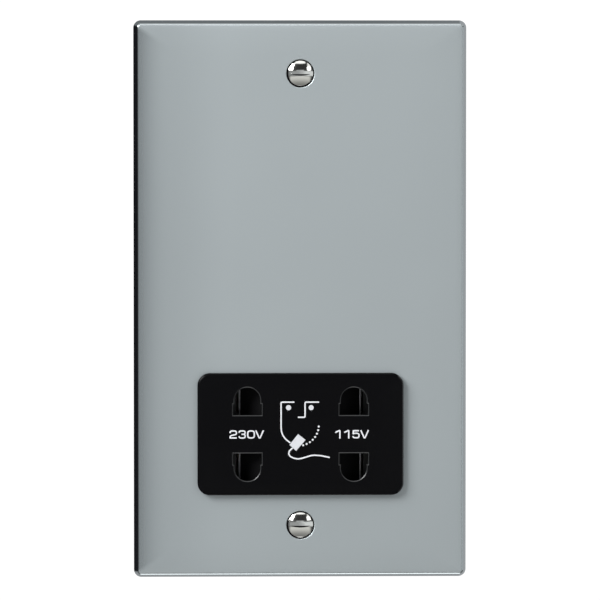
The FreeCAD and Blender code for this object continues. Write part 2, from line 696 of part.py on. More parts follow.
def pin_contact(side, level):
    """Folded bronze leaf: the base lies on the chamber's inner wall and the bowed leaf grips the pin."""
    seat = leaf_seat()
    front = DECK_REAR + LEAF_FRONT_GAP
    rear = CARRIER_REAR - LEAF_REAR_GAP
    folded = seat + LEAF_FOLD
    bow_y = (front + rear) / 2
    path = [(rear, seat), (front, seat), (front, folded), (bow_y, folded + LEAF_BOW), (rear, folded)]
    placed = [(y, INSERT_Z + level * v) for y, v in path]
    leaf = strip_face(placed, LEAF_T, in_yz(side * AP_X - LEAF_W / 2))
    leaf = leaf.extrude(ALONG_X * LEAF_W)
    tail = block(
        about(side * AP_X, TAIL_W / 2), (rear, TAIL_END), about(INSERT_Z + level * seat, LEAF_T / 2)
    )
    return leaf.fuse(tail).removeSplitter()


def strip_level():
    """Level of a switch strip's middle line, measured from the insert's centre."""
    return SWITCH_HALF_H - LEAF_SEAT_GAP - STRIP_T / 2


def switch_strip(level):
    """Fixed switch strip with two humps that the moving bridge meets at either end of its travel."""
    seat = strip_level()
    top = PADDLE_H / 2 + STRIP_T + HUMP_GAP + STRIP_T / 2
    half_top = HUMP_TOP / 2
    hump = [
        (TRAVEL - half_top - HUMP_RUN, seat),
        (TRAVEL - half_top, top),
        (TRAVEL + half_top, top),
        (TRAVEL + half_top + HUMP_RUN, seat),
    ]
    right = hump + [(STRIP_HALF_LEN, seat)]
    path = [(-x, v) for x, v in right[::-1]] + right
    placed = [(x, v * level) for x, v in path]
    front = DECK_REAR + STRIP_FRONT
    place = lambda u, v: Vector(u, front, INSERT_Z + v)
    strip = strip_face(placed, STRIP_T, place).extrude(ALONG_Y * STRIP_W)
    outer = level * STRIP_HALF_LEN
    tail_x = ordered(outer - level * STRIP_TAIL_W, outer)
    tail_z = about(INSERT_Z + level * seat, STRIP_T / 2)
    return strip.fuse(block(tail_x, (front + STRIP_W, TAIL_END), tail_z)).removeSplitter()


def switch_bridge():
    """Bronze clip folded round the end of the shutter's paddle."""
    outside = PADDLE_H / 2 + STRIP_T / 2
    rear = PADDLE_END + STRIP_T / 2
    grip = PADDLE_END - BRIDGE_GRIP
    path = [(grip, outside), (rear, outside), (rear, -outside), (grip, -outside)]
    placed = [(y, INSERT_Z + v) for y, v in path]
    clip = strip_face(placed, STRIP_T, in_yz(-BRIDGE_W / 2))
    return clip.extrude(ALONG_X * BRIDGE_W)


def socket_screws():
    """Two long screws from the terminal block through the carrier into the insert's bosses."""
    length = BLOCK_REAR - PILOT_FRONT - TIP_GAP
    return Part.makeCompound(
        [
            hex_screw(SOCKET_SCREW_R, length, SOCKET_SCREW_ACROSS, SOCKET_SCREW_HEAD_H, BLOCK_REAR, x, z)
            for x, z in SOCKET_SCREW_PLACES
        ]
    )


def terminal_block():
    """Moulded plate that closes the carrier, with a shrouded cell for each terminal."""
    depth = (CARRIER_REAR, BLOCK_REAR)
    plate = cut_block(CARRIER_W, CARRIER_H, CARRIER_CORNER_CUT, depth, INSERT_Z)
    shroud = (BLOCK_REAR, SHROUD_REAR)
    cell_half = BRASS_W / 2 + BRASS_GAP
    cells = []
    cuts = []
    for x in TERMINAL_PLACES:
        cells.append(block(about(x, cell_half + CELL_WALL), shroud, (CELL_BOTTOM, CELL_TOP)))
        cuts.append(block(about(x, cell_half), shroud, (CELL_BOTTOM + CELL_WALL, CELL_TOP - CELL_WALL)))
        mouth = WIRE_R + WIRE_MOUTH_GAP
        cuts.append(block(about(x, mouth), about(WIRE_Y, mouth), (CELL_BOTTOM, CELL_BOTTOM + CELL_WALL)))
    for side in SIDES:
        for level in SIDES:
            slot_z = about(INSERT_Z + level * leaf_seat(), LEAF_T / 2 + TAIL_SLOT_GAP)
            cuts.append(block(about(side * AP_X, TAIL_W / 2 + TAIL_SLOT_GAP), depth, slot_z))
        strip_x = about(side * (STRIP_HALF_LEN - STRIP_TAIL_W / 2), STRIP_TAIL_W / 2 + TAIL_SLOT_GAP)
        strip_z = about(INSERT_Z + side * strip_level(), STRIP_T / 2 + TAIL_SLOT_GAP)
        cuts.append(block(strip_x, depth, strip_z))
    for x, z in SOCKET_SCREW_PLACES:
        cuts.append(rod(SOCKET_SCREW_R + SCREW_HOLE_GAP, depth, x, z))
    half_strap = STRAP_W / 2 + BRASS_GAP
    strap_y = (BLOCK_REAR, BRASS_FRONT)
    cuts.append(block(about(EARTH_X, half_strap), strap_y, (CELL_BOTTOM, CELL_BOTTOM + CELL_WALL)))
    return plate.fuse(cells).cut(cuts).removeSplitter()


def terminal(x):
    """Brass terminal with a blind wire hole from below and a tapped hole from behind."""
    body = block(about(x, BRASS_W / 2), (BRASS_FRONT, BRASS_REAR), (BRASS_BOTTOM, BRASS_TOP))
    body = body.makeChamfer(BRASS_CHAMFER, edges_at(body, BRASS_REAR))
    wire_hole = Part.makeCylinder(WIRE_R, WIRE_DEPTH, Vector(x, WIRE_Y, BRASS_BOTTOM), ALONG_Z)
    tapped = rod(TERM_SCREW_R + THREAD_GAP, (WIRE_Y, BRASS_REAR), x, BRASS_Z)
    return body.cut([wire_hole, tapped]).removeSplitter()


def terminal_screws():
    """Slotted clamping screws, backed off so that the wire holes stand open."""
    tip = WIRE_Y + WIRE_R + TERM_SCREW_TIP_GAP
    top = BRASS_REAR + TERM_SCREW_PROUD
    screws = []
    for x in TERMINAL_PLACES:
        slot = block(about(x, TERM_SCREW_R), (top - TERM_SLOT_D, top), about(BRASS_Z, TERM_SLOT_W / 2))
        screws.append(rod(TERM_SCREW_R, (tip, top), x, BRASS_Z).cut(slot))
    return Part.makeCompound(screws)


def earth_strap():
    """Copper strip from a foot welded to the back of the plate to the earth terminal."""
    foot_y = PLATE_BACK + STRAP_T / 2
    tab_y = BLOCK_REAR + STRAP_T / 2
    path = [
        (foot_y, -FIX_Z - STRAP_FOOT),
        (foot_y, STRAP_Z),
        (tab_y, STRAP_Z),
        (tab_y, BRASS_BOTTOM + STRAP_TAB),
    ]
    strip = strip_face(path, STRAP_T, in_yz(EARTH_X - STRAP_W / 2))
    return strip.extrude(ALONG_X * STRAP_W)


def core_e_laminations():
    """Stack of E laminations, with its three legs pointing to +X."""
    root = -CORE_HALF_W
    yoke = root + CORE_LEG / 2
    tip = yoke + 2 * WINDOW_HALF_L
    stack_y = (STACK_FRONT, STACK_REAR)
    stack = block((root, tip), stack_y, about(CORE_Z, CORE_HALF_H))
    cuts = []
    for side in SIDES:
        window_v = ordered(CORE_Z + side * CORE_LEG / 2, CORE_Z + side * CORE_LEG)
        cuts.append(block((yoke, tip), stack_y, window_v))
    cuts += [rod(CORE_HOLE_R, stack_y, x, z) for x, z in CORE_BOLT_PLACES if x < 0]
    return stack.cut(cuts)


def core_i_laminations():
    """Stack of I laminations that closes the core."""
    stack_y = (STACK_FRONT, STACK_REAR)
    stack = block((CORE_HALF_W - CORE_LEG / 2, CORE_HALF_W), stack_y, about(CORE_Z, CORE_HALF_H))
    return stack.cut([rod(CORE_HOLE_R, stack_y, x, z) for x, z in CORE_BOLT_PLACES if x > 0])


def core_bolts():
    """Two bolts through opposite corners of the core into the chassis posts."""
    length = STACK_REAR - CHASSIS_BACK - POST_PILOT_FLOOR - TIP_GAP
    return Part.makeCompound(
        [
            hex_screw(CORE_BOLT_R, length, CORE_BOLT_ACROSS, CORE_BOLT_HEAD_H, STACK_REAR, x, z)
            for x, z in CORE_BOLT_PLACES
        ]
    )


def coil_ring(x, inner_rise, outer_rise, corner_r):
    """Rectangular ring round the centre leg, between two offsets from the bobbin's tube."""
    solids = []
    for rise, radius in ((outer_rise, corner_r), (inner_rise, 0.0)):
        points = rectangle(2 * (TUBE_HALF_D + rise), 2 * (TUBE_HALF_H + rise), STACK_MID, CORE_Z)
        solids.append(face_of(points, [radius] * 4, in_yz(x[0])).extrude(ALONG_X * (x[1] - x[0])))
    return solids[0].cut(solids[1])


def coil_bobbin():
    """Two-chamber bobbin: a square tube with two end flanges and a middle one."""
    ends = (-BOBBIN_HALF_L, BOBBIN_HALF_L)
    tube = coil_ring(ends, -BOBBIN_WALL, 0.0, 0.0)
    flanges = []
    for x in (ends[0], -FLANGE_T / 2, ends[1] - FLANGE_T):
        flanges.append(coil_ring((x, x + FLANGE_T), 0.0, WINDING_BUILD + FLANGE_RISE, 0.0))
    return tube.fuse(flanges).removeSplitter()


def winding_limits(side):
    """Limits along X of one winding between its flanges."""
    inner = side * (FLANGE_T / 2 + WINDING_GAP)
    outer = side * (BOBBIN_HALF_L - FLANGE_T - WINDING_GAP)
    return ordered(inner, outer)


def winding(side):
    """One wound coil as a rounded ring."""
    return coil_ring(winding_limits(side), 0.0, WINDING_BUILD, WINDING_R)


def thermal_cutout():
    """Flat thermal cut-out on the back of the primary winding."""
    middle = sum(winding_limits(-1)) / 2
    return block(about(middle, CUTOUT_W / 2), (CUTOUT_FRONT, CUTOUT_REAR), about(CORE_Z, CUTOUT_L / 2))


def tail_end(side, level):
    """Place just behind the tail of one pin contact."""
    return side * AP_X, TAIL_END + LEAD_GAP, INSERT_Z + level * leaf_seat()


def strip_end(level):
    """Place just behind the tail of one switch strip."""
    x = level * (STRIP_HALF_LEN - STRIP_TAIL_W / 2)
    return x, TAIL_END + LEAD_GAP, INSERT_Z + level * strip_level()


def terminal_end(x):
    """Place just behind a terminal, above its screw."""
    return x, BRASS_REAR + LEAD_GAP, BRASS_TOP - LEAD_MARGIN


def behind(point, y):
    """The same place at another depth."""
    return point[0], y, point[2]


def up_to_winding(x):
    """Last part of a lead that ends under a winding."""
    return [(x, LEAD_NEAR_Y, LEAD_ENTRY_Z), (x, LEAD_NEAR_Y, WINDING_BOTTOM - LEAD_GAP)]


def up_to_cutout(slot_x, end_x):
    """Last part of a lead that ends under the thermal cut-out, behind the bobbin's flanges."""
    inside = COVER_BOTTOM + COVER_WALL + LEAD_MARGIN
    clear = WINDING_BOTTOM - FLANGE_RISE - LEAD_MARGIN
    end_y = (CUTOUT_FRONT + CUTOUT_REAR) / 2
    return [
        (slot_x, LEAD_FAR_Y, LEAD_ENTRY_Z),
        (slot_x, LEAD_FAR_Y, inside),
        (end_x, end_y, clear),
        (end_x, end_y, CORE_Z - CUTOUT_L / 2 - LEAD_GAP),
    ]


def lead_line():
    """From the line terminal to the thermal cut-out."""
    start = terminal_end(LINE_X)
    end_x = sum(winding_limits(-1)) / 2 - LEAD_SPREAD
    rise = up_to_cutout(LEAD_EDGE - LEAD_SLOT_W / 2, end_x)
    return wire_along([start, behind(start, LEAD_NEAR_Y)] + rise, LEAD_R)


def lead_switched():
    """From the thermal cut-out to the switch."""
    start = strip_end(1)
    end_x = sum(winding_limits(-1)) / 2 + LEAD_SPREAD
    rise = up_to_cutout(-LEAD_MIDDLE_X, end_x)
    return wire_along([start, behind(start, LEAD_FAR_Y)] + rise, LEAD_R)


def lead_load():
    """From the switch to the primary winding."""
    start = strip_end(-1)
    return wire_along([start, behind(start, start[1] + LEAD_BEND)] + up_to_winding(-LEAD_INNER_X), LEAD_R)


def lead_neutral():
    """From the neutral terminal straight up to the primary winding."""
    start = terminal_end(NEUTRAL_X)
    end = up_to_winding(NEUTRAL_X)[-1]
    return wire_along([start, behind(start, LEAD_NEAR_Y), end], LEAD_R)


def lead_output(level, x):
    """From the secondary winding to one contact of the lower voltage."""
    start = tail_end(1, level)
    return wire_along([start, behind(start, start[1] + LEAD_BEND)] + up_to_winding(x), LEAD_R)


def lead_230():
    """From the secondary winding across to the upper contact of the higher voltage."""
    start = tail_end(-1, 1)
    bend = behind(start, start[1] + LEAD_CROSS_BEND)
    crossed = (LEAD_INNER_X, bend[1], LEAD_ENTRY_Z - LEAD_CROSS_DROP)
    return wire_along([start, bend, crossed] + up_to_winding(LEAD_INNER_X), LEAD_R)


def link_common():
    """Bare link on the tails of the two lower contacts, which share one side of the winding."""
    end = AP_X + TAIL_W / 2
    y = (BLOCK_REAR + TAIL_END) / 2
    z = INSERT_Z - leaf_seat() + LEAF_T / 2 + LEAD_GAP + LINK_R
    return wire_along([(-end, y, z), (end, y, z)], LINK_R)


def rear_cover():
    """Vented cup over the transformer, with an ear on each side and a slot for the leads."""
    cup = cut_block(COVER_W, COVER_H, COVER_CORNER_CUT, (CHASSIS_BACK, COVER_REAR), CORE_Z)
    cup = cup.makeChamfer(COVER_CHAMFER, edges_at(cup, COVER_REAR))
    ears = []
    cuts = []
    for x, z in EAR_PLACES:
        side = math.copysign(1.0, x)
        root = side * (COVER_W - COVER_WALL) / 2
        tip = x + side * EAR_HALF
        neck = tip - side * EAR_CHAMFER
        narrow = EAR_HALF - EAR_CHAMFER
        half = [(root, EAR_HALF), (neck, EAR_HALF), (tip, narrow)]
        outline = [(u, z + v) for u, v in half] + [(u, z - v) for u, v in half[::-1]]
        ears.append(face_of(outline, [0.0] * len(outline), in_xz(EAR_FRONT)).extrude(ALONG_Y * EAR_T))
        cuts.append(rod(COVER_SCREW_R + SCREW_HOLE_GAP, (EAR_FRONT, EAR_REAR), x, z))
    rear_wall = (COVER_REAR - COVER_REAR_WALL, COVER_REAR)
    inside_y = (CHASSIS_BACK, rear_wall[0])
    inner_cut = COVER_CORNER_CUT - COVER_WALL * (2 - math.sqrt(2))
    cuts.append(cut_block(COVER_IN_W, COVER_IN_H, inner_cut, inside_y, CORE_Z))
    slot_y = about(LEAD_SLOT_Y, LEAD_SLOT_H / 2)
    slot_z = (COVER_BOTTOM, COVER_BOTTOM + COVER_WALL)
    cuts.append(block(about(0.0, LEAD_SLOT_W / 2), slot_y, slot_z))
    for row in range(VENT_ROWS):
        z = CORE_Z + (row - (VENT_ROWS - 1) / 2) * VENT_PITCH
        for side in SIDES:
            cuts.append(block(about(side * VENT_X, VENT_L / 2), rear_wall, about(z, VENT_W / 2)))
    return cup.fuse(ears).cut(cuts).removeSplitter()


def cover_screws():
    """Two screws through the cover's ears into the chassis bosses."""
    return Part.makeCompound(
        [
            hex_screw(COVER_SCREW_R, COVER_SCREW_LEN, COVER_SCREW_ACROSS, COVER_SCREW_HEAD_H, EAR_REAR, x, z)
            for x, z in EAR_PLACES
        ]
    )


def all_parts():
    """Every sub-part by its node name."""
    return {
        "front_plate": front_plate(),
        "plate_screws": plate_screws(),
        "chassis": chassis(),
        "socket_front": socket_front(),
        "shutter_slider": shutter_slider(),
        "return_spring_left": return_spring(-1),
        "return_spring_right": return_spring(1),
        "contact_carrier": contact_carrier(),
        "contact_230_upper": pin_contact(-1, 1),
        "contact_230_lower": pin_contact(-1, -1),
        "contact_115_upper": pin_contact(1, 1),
        "contact_115_lower": pin_contact(1, -1),
        "switch_contact_line": switch_strip(1),
        "switch_contact_load": switch_strip(-1),
        "switch_bridge": switch_bridge(),
        "socket_screws": socket_screws(),
        "terminal_block": terminal_block(),
        "terminal_line": terminal(LINE_X),
        "terminal_neutral": terminal(NEUTRAL_X),
        "terminal_earth": terminal(EARTH_X),
        "terminal_screws": terminal_screws(),
        "earth_strap": earth_strap(),
        "core_e_laminations": core_e_laminations(),
        "core_i_laminations": core_i_laminations(),
        "core_bolts": core_bolts(),
        "coil_bobbin": coil_bobbin(),
        "primary_winding": winding(-1),
        "secondary_winding": winding(1),
        "thermal_cutout": thermal_cutout(),
        "lead_line": lead_line(),
        "lead_switched": lead_switched(),
        "lead_load": lead_load(),
        "lead_neutral": lead_neutral(),
        "lead_common": lead_output(-1, LEAD_MIDDLE_X),
        "lead_115": lead_output(1, LEAD_OUTER_X),
        "lead_230": lead_230(),
        "link_common": link_common(),
        "rear_cover": rear_cover(),
        "cover_screws": cover_screws(),
    }


os.makedirs("parts", exist_ok=True)
for node, shape in all_parts().items():
    shape.exportStep("parts/" + node + ".step")
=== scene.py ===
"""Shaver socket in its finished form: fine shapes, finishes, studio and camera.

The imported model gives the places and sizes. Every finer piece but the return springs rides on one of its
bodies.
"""
import math

import bmesh
import bpy
from bpy.props import FloatProperty, FloatVectorProperty, PointerProperty
from mathutils import Matrix, Vector


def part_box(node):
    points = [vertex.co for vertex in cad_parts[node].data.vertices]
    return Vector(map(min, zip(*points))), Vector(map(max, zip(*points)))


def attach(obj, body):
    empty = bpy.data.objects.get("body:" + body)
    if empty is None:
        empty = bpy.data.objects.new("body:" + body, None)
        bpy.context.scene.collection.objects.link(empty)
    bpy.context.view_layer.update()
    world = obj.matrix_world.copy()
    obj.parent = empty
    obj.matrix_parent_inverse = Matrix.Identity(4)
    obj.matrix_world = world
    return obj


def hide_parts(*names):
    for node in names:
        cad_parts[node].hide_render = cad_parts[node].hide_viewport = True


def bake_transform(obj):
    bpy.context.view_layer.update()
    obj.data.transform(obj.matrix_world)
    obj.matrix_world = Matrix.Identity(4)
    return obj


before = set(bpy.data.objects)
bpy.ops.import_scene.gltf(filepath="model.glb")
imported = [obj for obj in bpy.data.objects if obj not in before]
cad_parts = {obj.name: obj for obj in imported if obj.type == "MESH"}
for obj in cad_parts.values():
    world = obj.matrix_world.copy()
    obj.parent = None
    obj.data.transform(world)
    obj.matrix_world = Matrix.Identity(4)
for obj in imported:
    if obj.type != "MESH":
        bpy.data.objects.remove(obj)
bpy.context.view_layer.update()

bl_info = {
    "name": "Shaver Socket",
    "version": (1, 0, 0),
    "blender": (4, 5, 0),
    "location": "View3D > Sidebar > Socket",
    "description": "Dresses the packed shaver socket with finer shapes, finishes and a studio",
    "category": "Object",
}

MM = 0.001
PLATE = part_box("front_plate")
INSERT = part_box("socket_front")
INSERT_MIDDLE = (INSERT[0] + INSERT[1]) / 2
INSERT_HALF = (INSERT[1] - INSERT[0]) / 2
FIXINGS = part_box("plate_screws")

# Small lengths of the plate
FACE_MARGIN = 0.4 * MM
REAR_EDGE = 0.08 * MM
SHARPEST_CORNER = 0.35 * MM
WINDOW_LAP = 1.0 * MM
WINDOW_CORNER = 2.3 * MM
SEAT_LIP = 0.16 * MM

# Small lengths of a fixing screw
HEAD_CHAMFER = 0.12 * MM
HEAD_EDGE = 0.1 * MM
HEAD_WALL = 0.55 * MM
SEAT_PLAY = 0.1 * MM
SLOT_SLANT = 0.45 * MM
THREAD_CORE = 1.38 * MM
THREAD_MIDDLE = 1.46 * MM
THREAD_WIRE = 0.28 * MM
THREAD_END = 1.0 * MM
TIP_LENGTH = 0.6 * MM
TIP_RADIUS = 0.9 * MM

# Small lengths of the print, which lies on the set-back face of the insert
FACE_SETBACK = 0.05 * MM
PRINT_SETBACK = 0.045 * MM
PRINT_HEIGHT = 0.02 * MM
DIGIT_BEND = 0.08 * MM
SIGN_BEND = 0.3 * MM
DOT_RADIUS = 0.27 * MM

# Small lengths of the inner pieces
SPRING_WIRE = 0.22 * MM
BOLT_HOLE = 1.7 * MM
WINDING_CORNER = 1.6 * MM
WINDING_SHRINK = 0.4 * MM

# Counts and shares
CORNER_STEPS = 10
EDGE_STEPS = 8
HEAD_STEPS = 16
DOT_COUNT = 8
SPRING_TURNS = 9.0
SIDE_CROWN = 1.5
LAMINATION_SHARE = 0.92

# Shift of the picture in pixels, right and up, and the picture's width
PICTURE_SHIFT = (0.1, -1.0)
PICTURE_WIDTH = 600


def length(name, description, millimetres):
    """Length setting with a default in millimetres."""
    return FloatProperty(
        name=name, description=description, default=millimetres * MM, min=0.0, unit="LENGTH", precision=5
    )


def colour(name, description, value):
    """Colour setting."""
    return FloatVectorProperty(
        name=name, description=description, default=value, size=3, min=0.0, max=1.0, subtype="COLOR"
    )


def angle(name, description, degrees):
    """Angle setting with a default in degrees."""
    return FloatProperty(name=name, description=description, default=math.radians(degrees), unit="ROTATION")


def power(name, description, watts):
    """Light power setting."""
    return FloatProperty(name=name, description=description, default=watts, min=0.0, unit="POWER")


class SOCKET_PG_sizes(bpy.types.PropertyGroup):
    """Sizes of the fine shapes"""

    sheet: length("Sheet", "Thickness of the plate's sheet", 1.2)
    corner: length("Corner", "Radius of the plate's corners at the wall", 2.0)
    draft: length("Draft", "How far the plate's front edge lies inside its rear edge", 0.8)
    edge: length("Edge", "Radius of the plate's front edge", 0.8)
    crown_width: length("Crown Width", "Width of the band in which the face falls away", 7.5)
    crown_drop: length("Crown Drop", "How far the face falls away at its edge", 0.14)
    head: length("Head", "Radius of a fixing screw's head", 3.4)
    seat: length("Seat", "Radius of a screw seat at the face", 3.75)
    seat_back: length("Seat Back", "Radius of a screw seat at the back of the sheet", 2.3)
    rim_depth: length("Rim Depth", "Depth of the groove round a fixing screw's head", 0.7)
    slot: length("Slot", "Width of a fixing screw's slot", 1.24)
    slot_depth: length("Slot Depth", "Depth of a fixing screw's slot", 0.6)
    thread: length("Thread Pitch", "Pitch of the fixing screws", 0.6)
    soft: length("Soft Edge", "Width of the rounding on moulded edges", 0.14)
    fine: length("Fine Edge", "Width of the rounding on metal edges", 0.05)
    ink: length("Ink", "Width of the printed lines", 0.37)
    lamination: length("Lamination", "Pitch of the core's laminations", 0.5)
    wire: length("Winding Wire", "Pitch of the winding's wires", 0.5)
    lead: length("Lead", "Radius of the leads", 0.76)
    bend: length("Lead Bend", "Radius of the leads' bends", 1.6)


class SOCKET_PG_colours(bpy.types.PropertyGroup):
    """Colours of the finishes"""

    steel: colour("Steel", "Bright plate", (0.55, 0.6, 0.618))
    nickel: colour("Nickel", "Fixing screws", (0.96, 0.97, 0.93))
    # Painted shade: near-black metal for the grooves round the screw seats, the slots' upward walls and the
    # screw heads' lower-left rims
    shade: colour("Shade", "Unpolished metal in grooves and slots", (0.012, 0.012, 0.013))
    insert: colour("Insert", "Black insert", (0.0025, 0.0025, 0.003))
    # Painted highlight: a lighter, glossier black for the slanted edges round the apertures and along the
    # insert's right side
    edges: colour("Edges", "Worn edges of the black insert", (0.02, 0.021, 0.022))
    ink: colour("Ink", "Printed marks", (0.67, 0.68, 0.71))
    halftone: colour("Halftone", "Printed eyes and shaver in the sign", (0.55, 0.56, 0.59))
    # Painted highlight: light grey on the front of the shutter's outer edges
    painted_edge_highlight: colour("Worn", "Worn outer edges of the shutter", (0.5, 0.5, 0.52))
    shutter: colour("Shutter", "Sliding shutter", (0.005, 0.005, 0.0055))
    moulding: colour("Moulding", "Chassis", (0.62, 0.59, 0.51))
    carrier: colour("Carrier", "Contact carrier", (0.012, 0.012, 0.013))
    terminals: colour("Terminal Moulding", "Terminal block", (0.72, 0.7, 0.64))
    cover: colour("Cover", "Rear cover", (0.016, 0.016, 0.018))
    bronze: colour("Bronze", "Contacts", (0.56, 0.33, 0.14))
    brass: colour("Brass", "Terminals", (0.66, 0.45, 0.15))
    copper: colour("Copper", "Earth strap", (0.66, 0.3, 0.17))
    enamel: colour("Enamel", "Winding wire", (0.42, 0.13, 0.045))
    zinc: colour("Zinc", "Inner screws", (0.6, 0.63, 0.66))
    spring: colour("Spring", "Return springs", (0.42, 0.42, 0.42))
    core: colour("Core", "Laminations", (0.14, 0.145, 0.155))
    bobbin: colour("Bobbin", "Coil bobbin", (0.7, 0.66, 0.55))
    cutout: colour("Cut-out", "Thermal cut-out", (0.05, 0.052, 0.06))
    brown: colour("Brown", "Line leads", (0.1, 0.035, 0.016))
    black: colour("Black", "Load lead", (0.008, 0.008, 0.008))
    blue: colour("Blue", "Neutral lead", (0.01, 0.05, 0.3))
    white: colour("White", "Common lead", (0.68, 0.68, 0.64))
    yellow: colour("Yellow", "Lead of the lower voltage", (0.66, 0.42, 0.01))
    red: colour("Red", "Lead of the higher voltage", (0.42, 0.012, 0.01))
    tin: colour("Tin", "Bare link", (0.62, 0.62, 0.6))
    floor: colour("Floor", "Studio floor", (0.82, 0.82, 0.82))


class SOCKET_PG_stage(bpy.types.PropertyGroup):
    """Studio and camera"""

    distance: length("Distance", "From the camera to the wall plane", 1340.0)
    lens: FloatProperty(name="Lens", description="Focal length in millimetres", default=300.3, unit="CAMERA")
    height: angle("Height", "Angle of the camera above level", 2.4)
    turn: angle("Turn", "Angle of the camera to the left", 1.7)
    floor_drop: length("Floor Drop", "From the middle of the plate down to the floor", 125.0)
    key: power("Key", "Power of the light at the upper left", 74.0)
    fill: power("Fill", "Power of the light at the upper right", 0.7)
    rear: power("Rear", "Power of the light behind", 5.0)


class Flow:
    """Output socket that takes part in Python sums, so that node maths reads as an expression."""

    def __init__(self, graph, socket):
        self.graph = graph
        self.socket = socket

    def calculate(self, operation, left, right):
        """One maths node, of the vector kind where a side is a vector or colour."""
        wide = any(isinstance(v, Flow) and v.socket.type in {"RGBA", "VECTOR"} for v in (left, right))
        kind = "ShaderNodeVectorMath" if wide else "ShaderNodeMath"
        return self.graph.add(kind, {"operation": operation}, {0: left, 1: right})

    def __add__(self, other):
        return self.calculate("ADD", self, other)

    def __radd__(self, other):
        return self.calculate("ADD", other, self)

    def __sub__(self, other):
        return self.calculate("SUBTRACT", self, other)

    def __rsub__(self, other):
        return self.calculate("SUBTRACT", other, self)

    def __mul__(self, other):
        return self.calculate("MULTIPLY", self, other)

    def __rmul__(self, other):
        return self.calculate("MULTIPLY", other, self)


class Graph:
    """Node tree under construction."""

    def __init__(self, tree):
        self.tree = tree
        tree.nodes.clear()

    def add(self, kind, settings=None, sockets=None, output=0):
        """One node: its settings first, then the values or links of its sockets."""
        node = self.tree.nodes.new(kind)
        for name, value in (settings or {}).items():
            setattr(node, name, value)
        for name, value in (sockets or {}).items():
            self.feed(node.inputs[name], value)
        return Flow(self, node.outputs[output]) if node.outputs else None

    def feed(self, socket, value):
        """Links or sets one input socket. A lone number fills a vector or gives a grey."""
        if isinstance(value, list):
            for each in value:
                self.tree.links.new(each.socket, socket)
        elif isinstance(value, Flow):
            self.tree.links.new(value.socket, socket)
        else:
            if socket.type in {"RGBA", "VECTOR"} and isinstance(value, (int, float)):
                value = (value, value, value)
            socket.default_value = tuple(value)[:3] + (1.0,) if socket.type == "RGBA" else value

    def shape(self, kind, mode=None, **sockets):
        """One geometry node, with underscores for the blanks in its sockets' names."""
        named = {name.replace("_", " "): value for name, value in sockets.items()}
        return self.add("GeometryNode" + kind, {"mode": mode} if mode else None, named)

    def split(self, vector):
        """The three parts of a vector."""
        return [self.add("ShaderNodeSeparateXYZ", None, {0: vector}, axis) for axis in "XYZ"]

    def mix(self, factor, one, two):
        """Blend of two colours."""
        return self.add("ShaderNodeMix", {"data_type": "RGBA"}, {0: factor, 6: one, 7: two}, 2)

    def ease(self, value, start, end):
        """Smooth step from nought at the start to one at the end."""
        settings = {"interpolation_type": "SMOOTHSTEP"}
        return self.add("ShaderNodeMapRange", settings, {"Value": value, "From Min": start, "From Max": end})

    def noise(self, per_mm, stretch=(1.0, 1.0, 1.0), detail=3.0):
        """Noise in the object's own coordinates, with so many features to a millimetre."""
        place = self.add("ShaderNodeTexCoord", output="Object")
        spread = place * tuple(s * per_mm / MM for s in stretch)
        return self.add("ShaderNodeTexNoise", None, {"Vector": spread, "Scale": 1.0, "Detail": detail})

    def bump(self, height, depth):
        """Surface relief of a depth in metres."""
        return self.add("ShaderNodeBump", None, {"Height": height, "Distance": depth}, "Normal")


def scaled(tint, factor):
    """Lighter or darker version of a colour."""
    return tuple(min(channel * factor, 1.0) for channel in tint)


def new_material(name):
    """Empty material and its graph."""
    made = bpy.data.materials.new(name)
    made.use_nodes = True
    return made, Graph(made.node_tree)


def material(name, paint, **constants):
    """Principled material: paint(graph) gives the sockets that vary, and the rest are constants."""
    made, graph = new_material(name)
    sockets = {key.replace("_", " "): value for key, value in constants.items()}
    sockets.update(paint(graph))
    shader = graph.add("ShaderNodeBsdfPrincipled", None, sockets)
    graph.add("ShaderNodeOutputMaterial", None, {"Surface": shader})
    return made


def metal(name, tint, roughness, grain=(1.0, 1.0, 1.0), relief=0.002, stain=0.12):
    """Metal with cloudy tarnish, drawn grain and uneven polish."""

    def paint(graph):
        cloud = graph.noise(0.12, detail=4.0)
        lines = graph.noise(6.0, grain, 2.0)
        tone = graph.mix(cloud, scaled(tint, 1.0 - stain), scaled(tint, 1.0 + stain))
        return {
            "Base Color": graph.mix(lines * 0.3, tone, scaled(tint, 0.8)),
            "Roughness": roughness * 0.75 + cloud * (roughness * 0.3) + lines * (roughness * 0.25),
            "Normal": graph.bump(lines, relief * MM),
        }

    return material(name, paint, Metallic=1.0)


def plastic(name, tint, roughness, relief=0.004, gloss=0.5, grain=5.0):
    """Moulded plastic with flow marks, a fine grain and specks."""

    def paint(graph):
        flow = graph.noise(0.05, (1.0, 1.0, 2.5), 3.0)
        fine = graph.noise(grain, detail=2.0)
        speck = graph.ease(graph.noise(1.6, detail=1.0), 0.66, 0.74)
        tone = graph.mix(flow, scaled(tint, 0.9), scaled(tint, 1.08))
        return {
            "Base Color": graph.mix(speck * 0.35, tone, scaled(tint, 0.7)),
            "Roughness": roughness * 0.85 + flow * (roughness * 0.2) + fine * (roughness * 0.12),
            "Normal": graph.bump(fine, relief * MM),
        }

    return material(name, paint, Specular_IOR_Level=gloss)


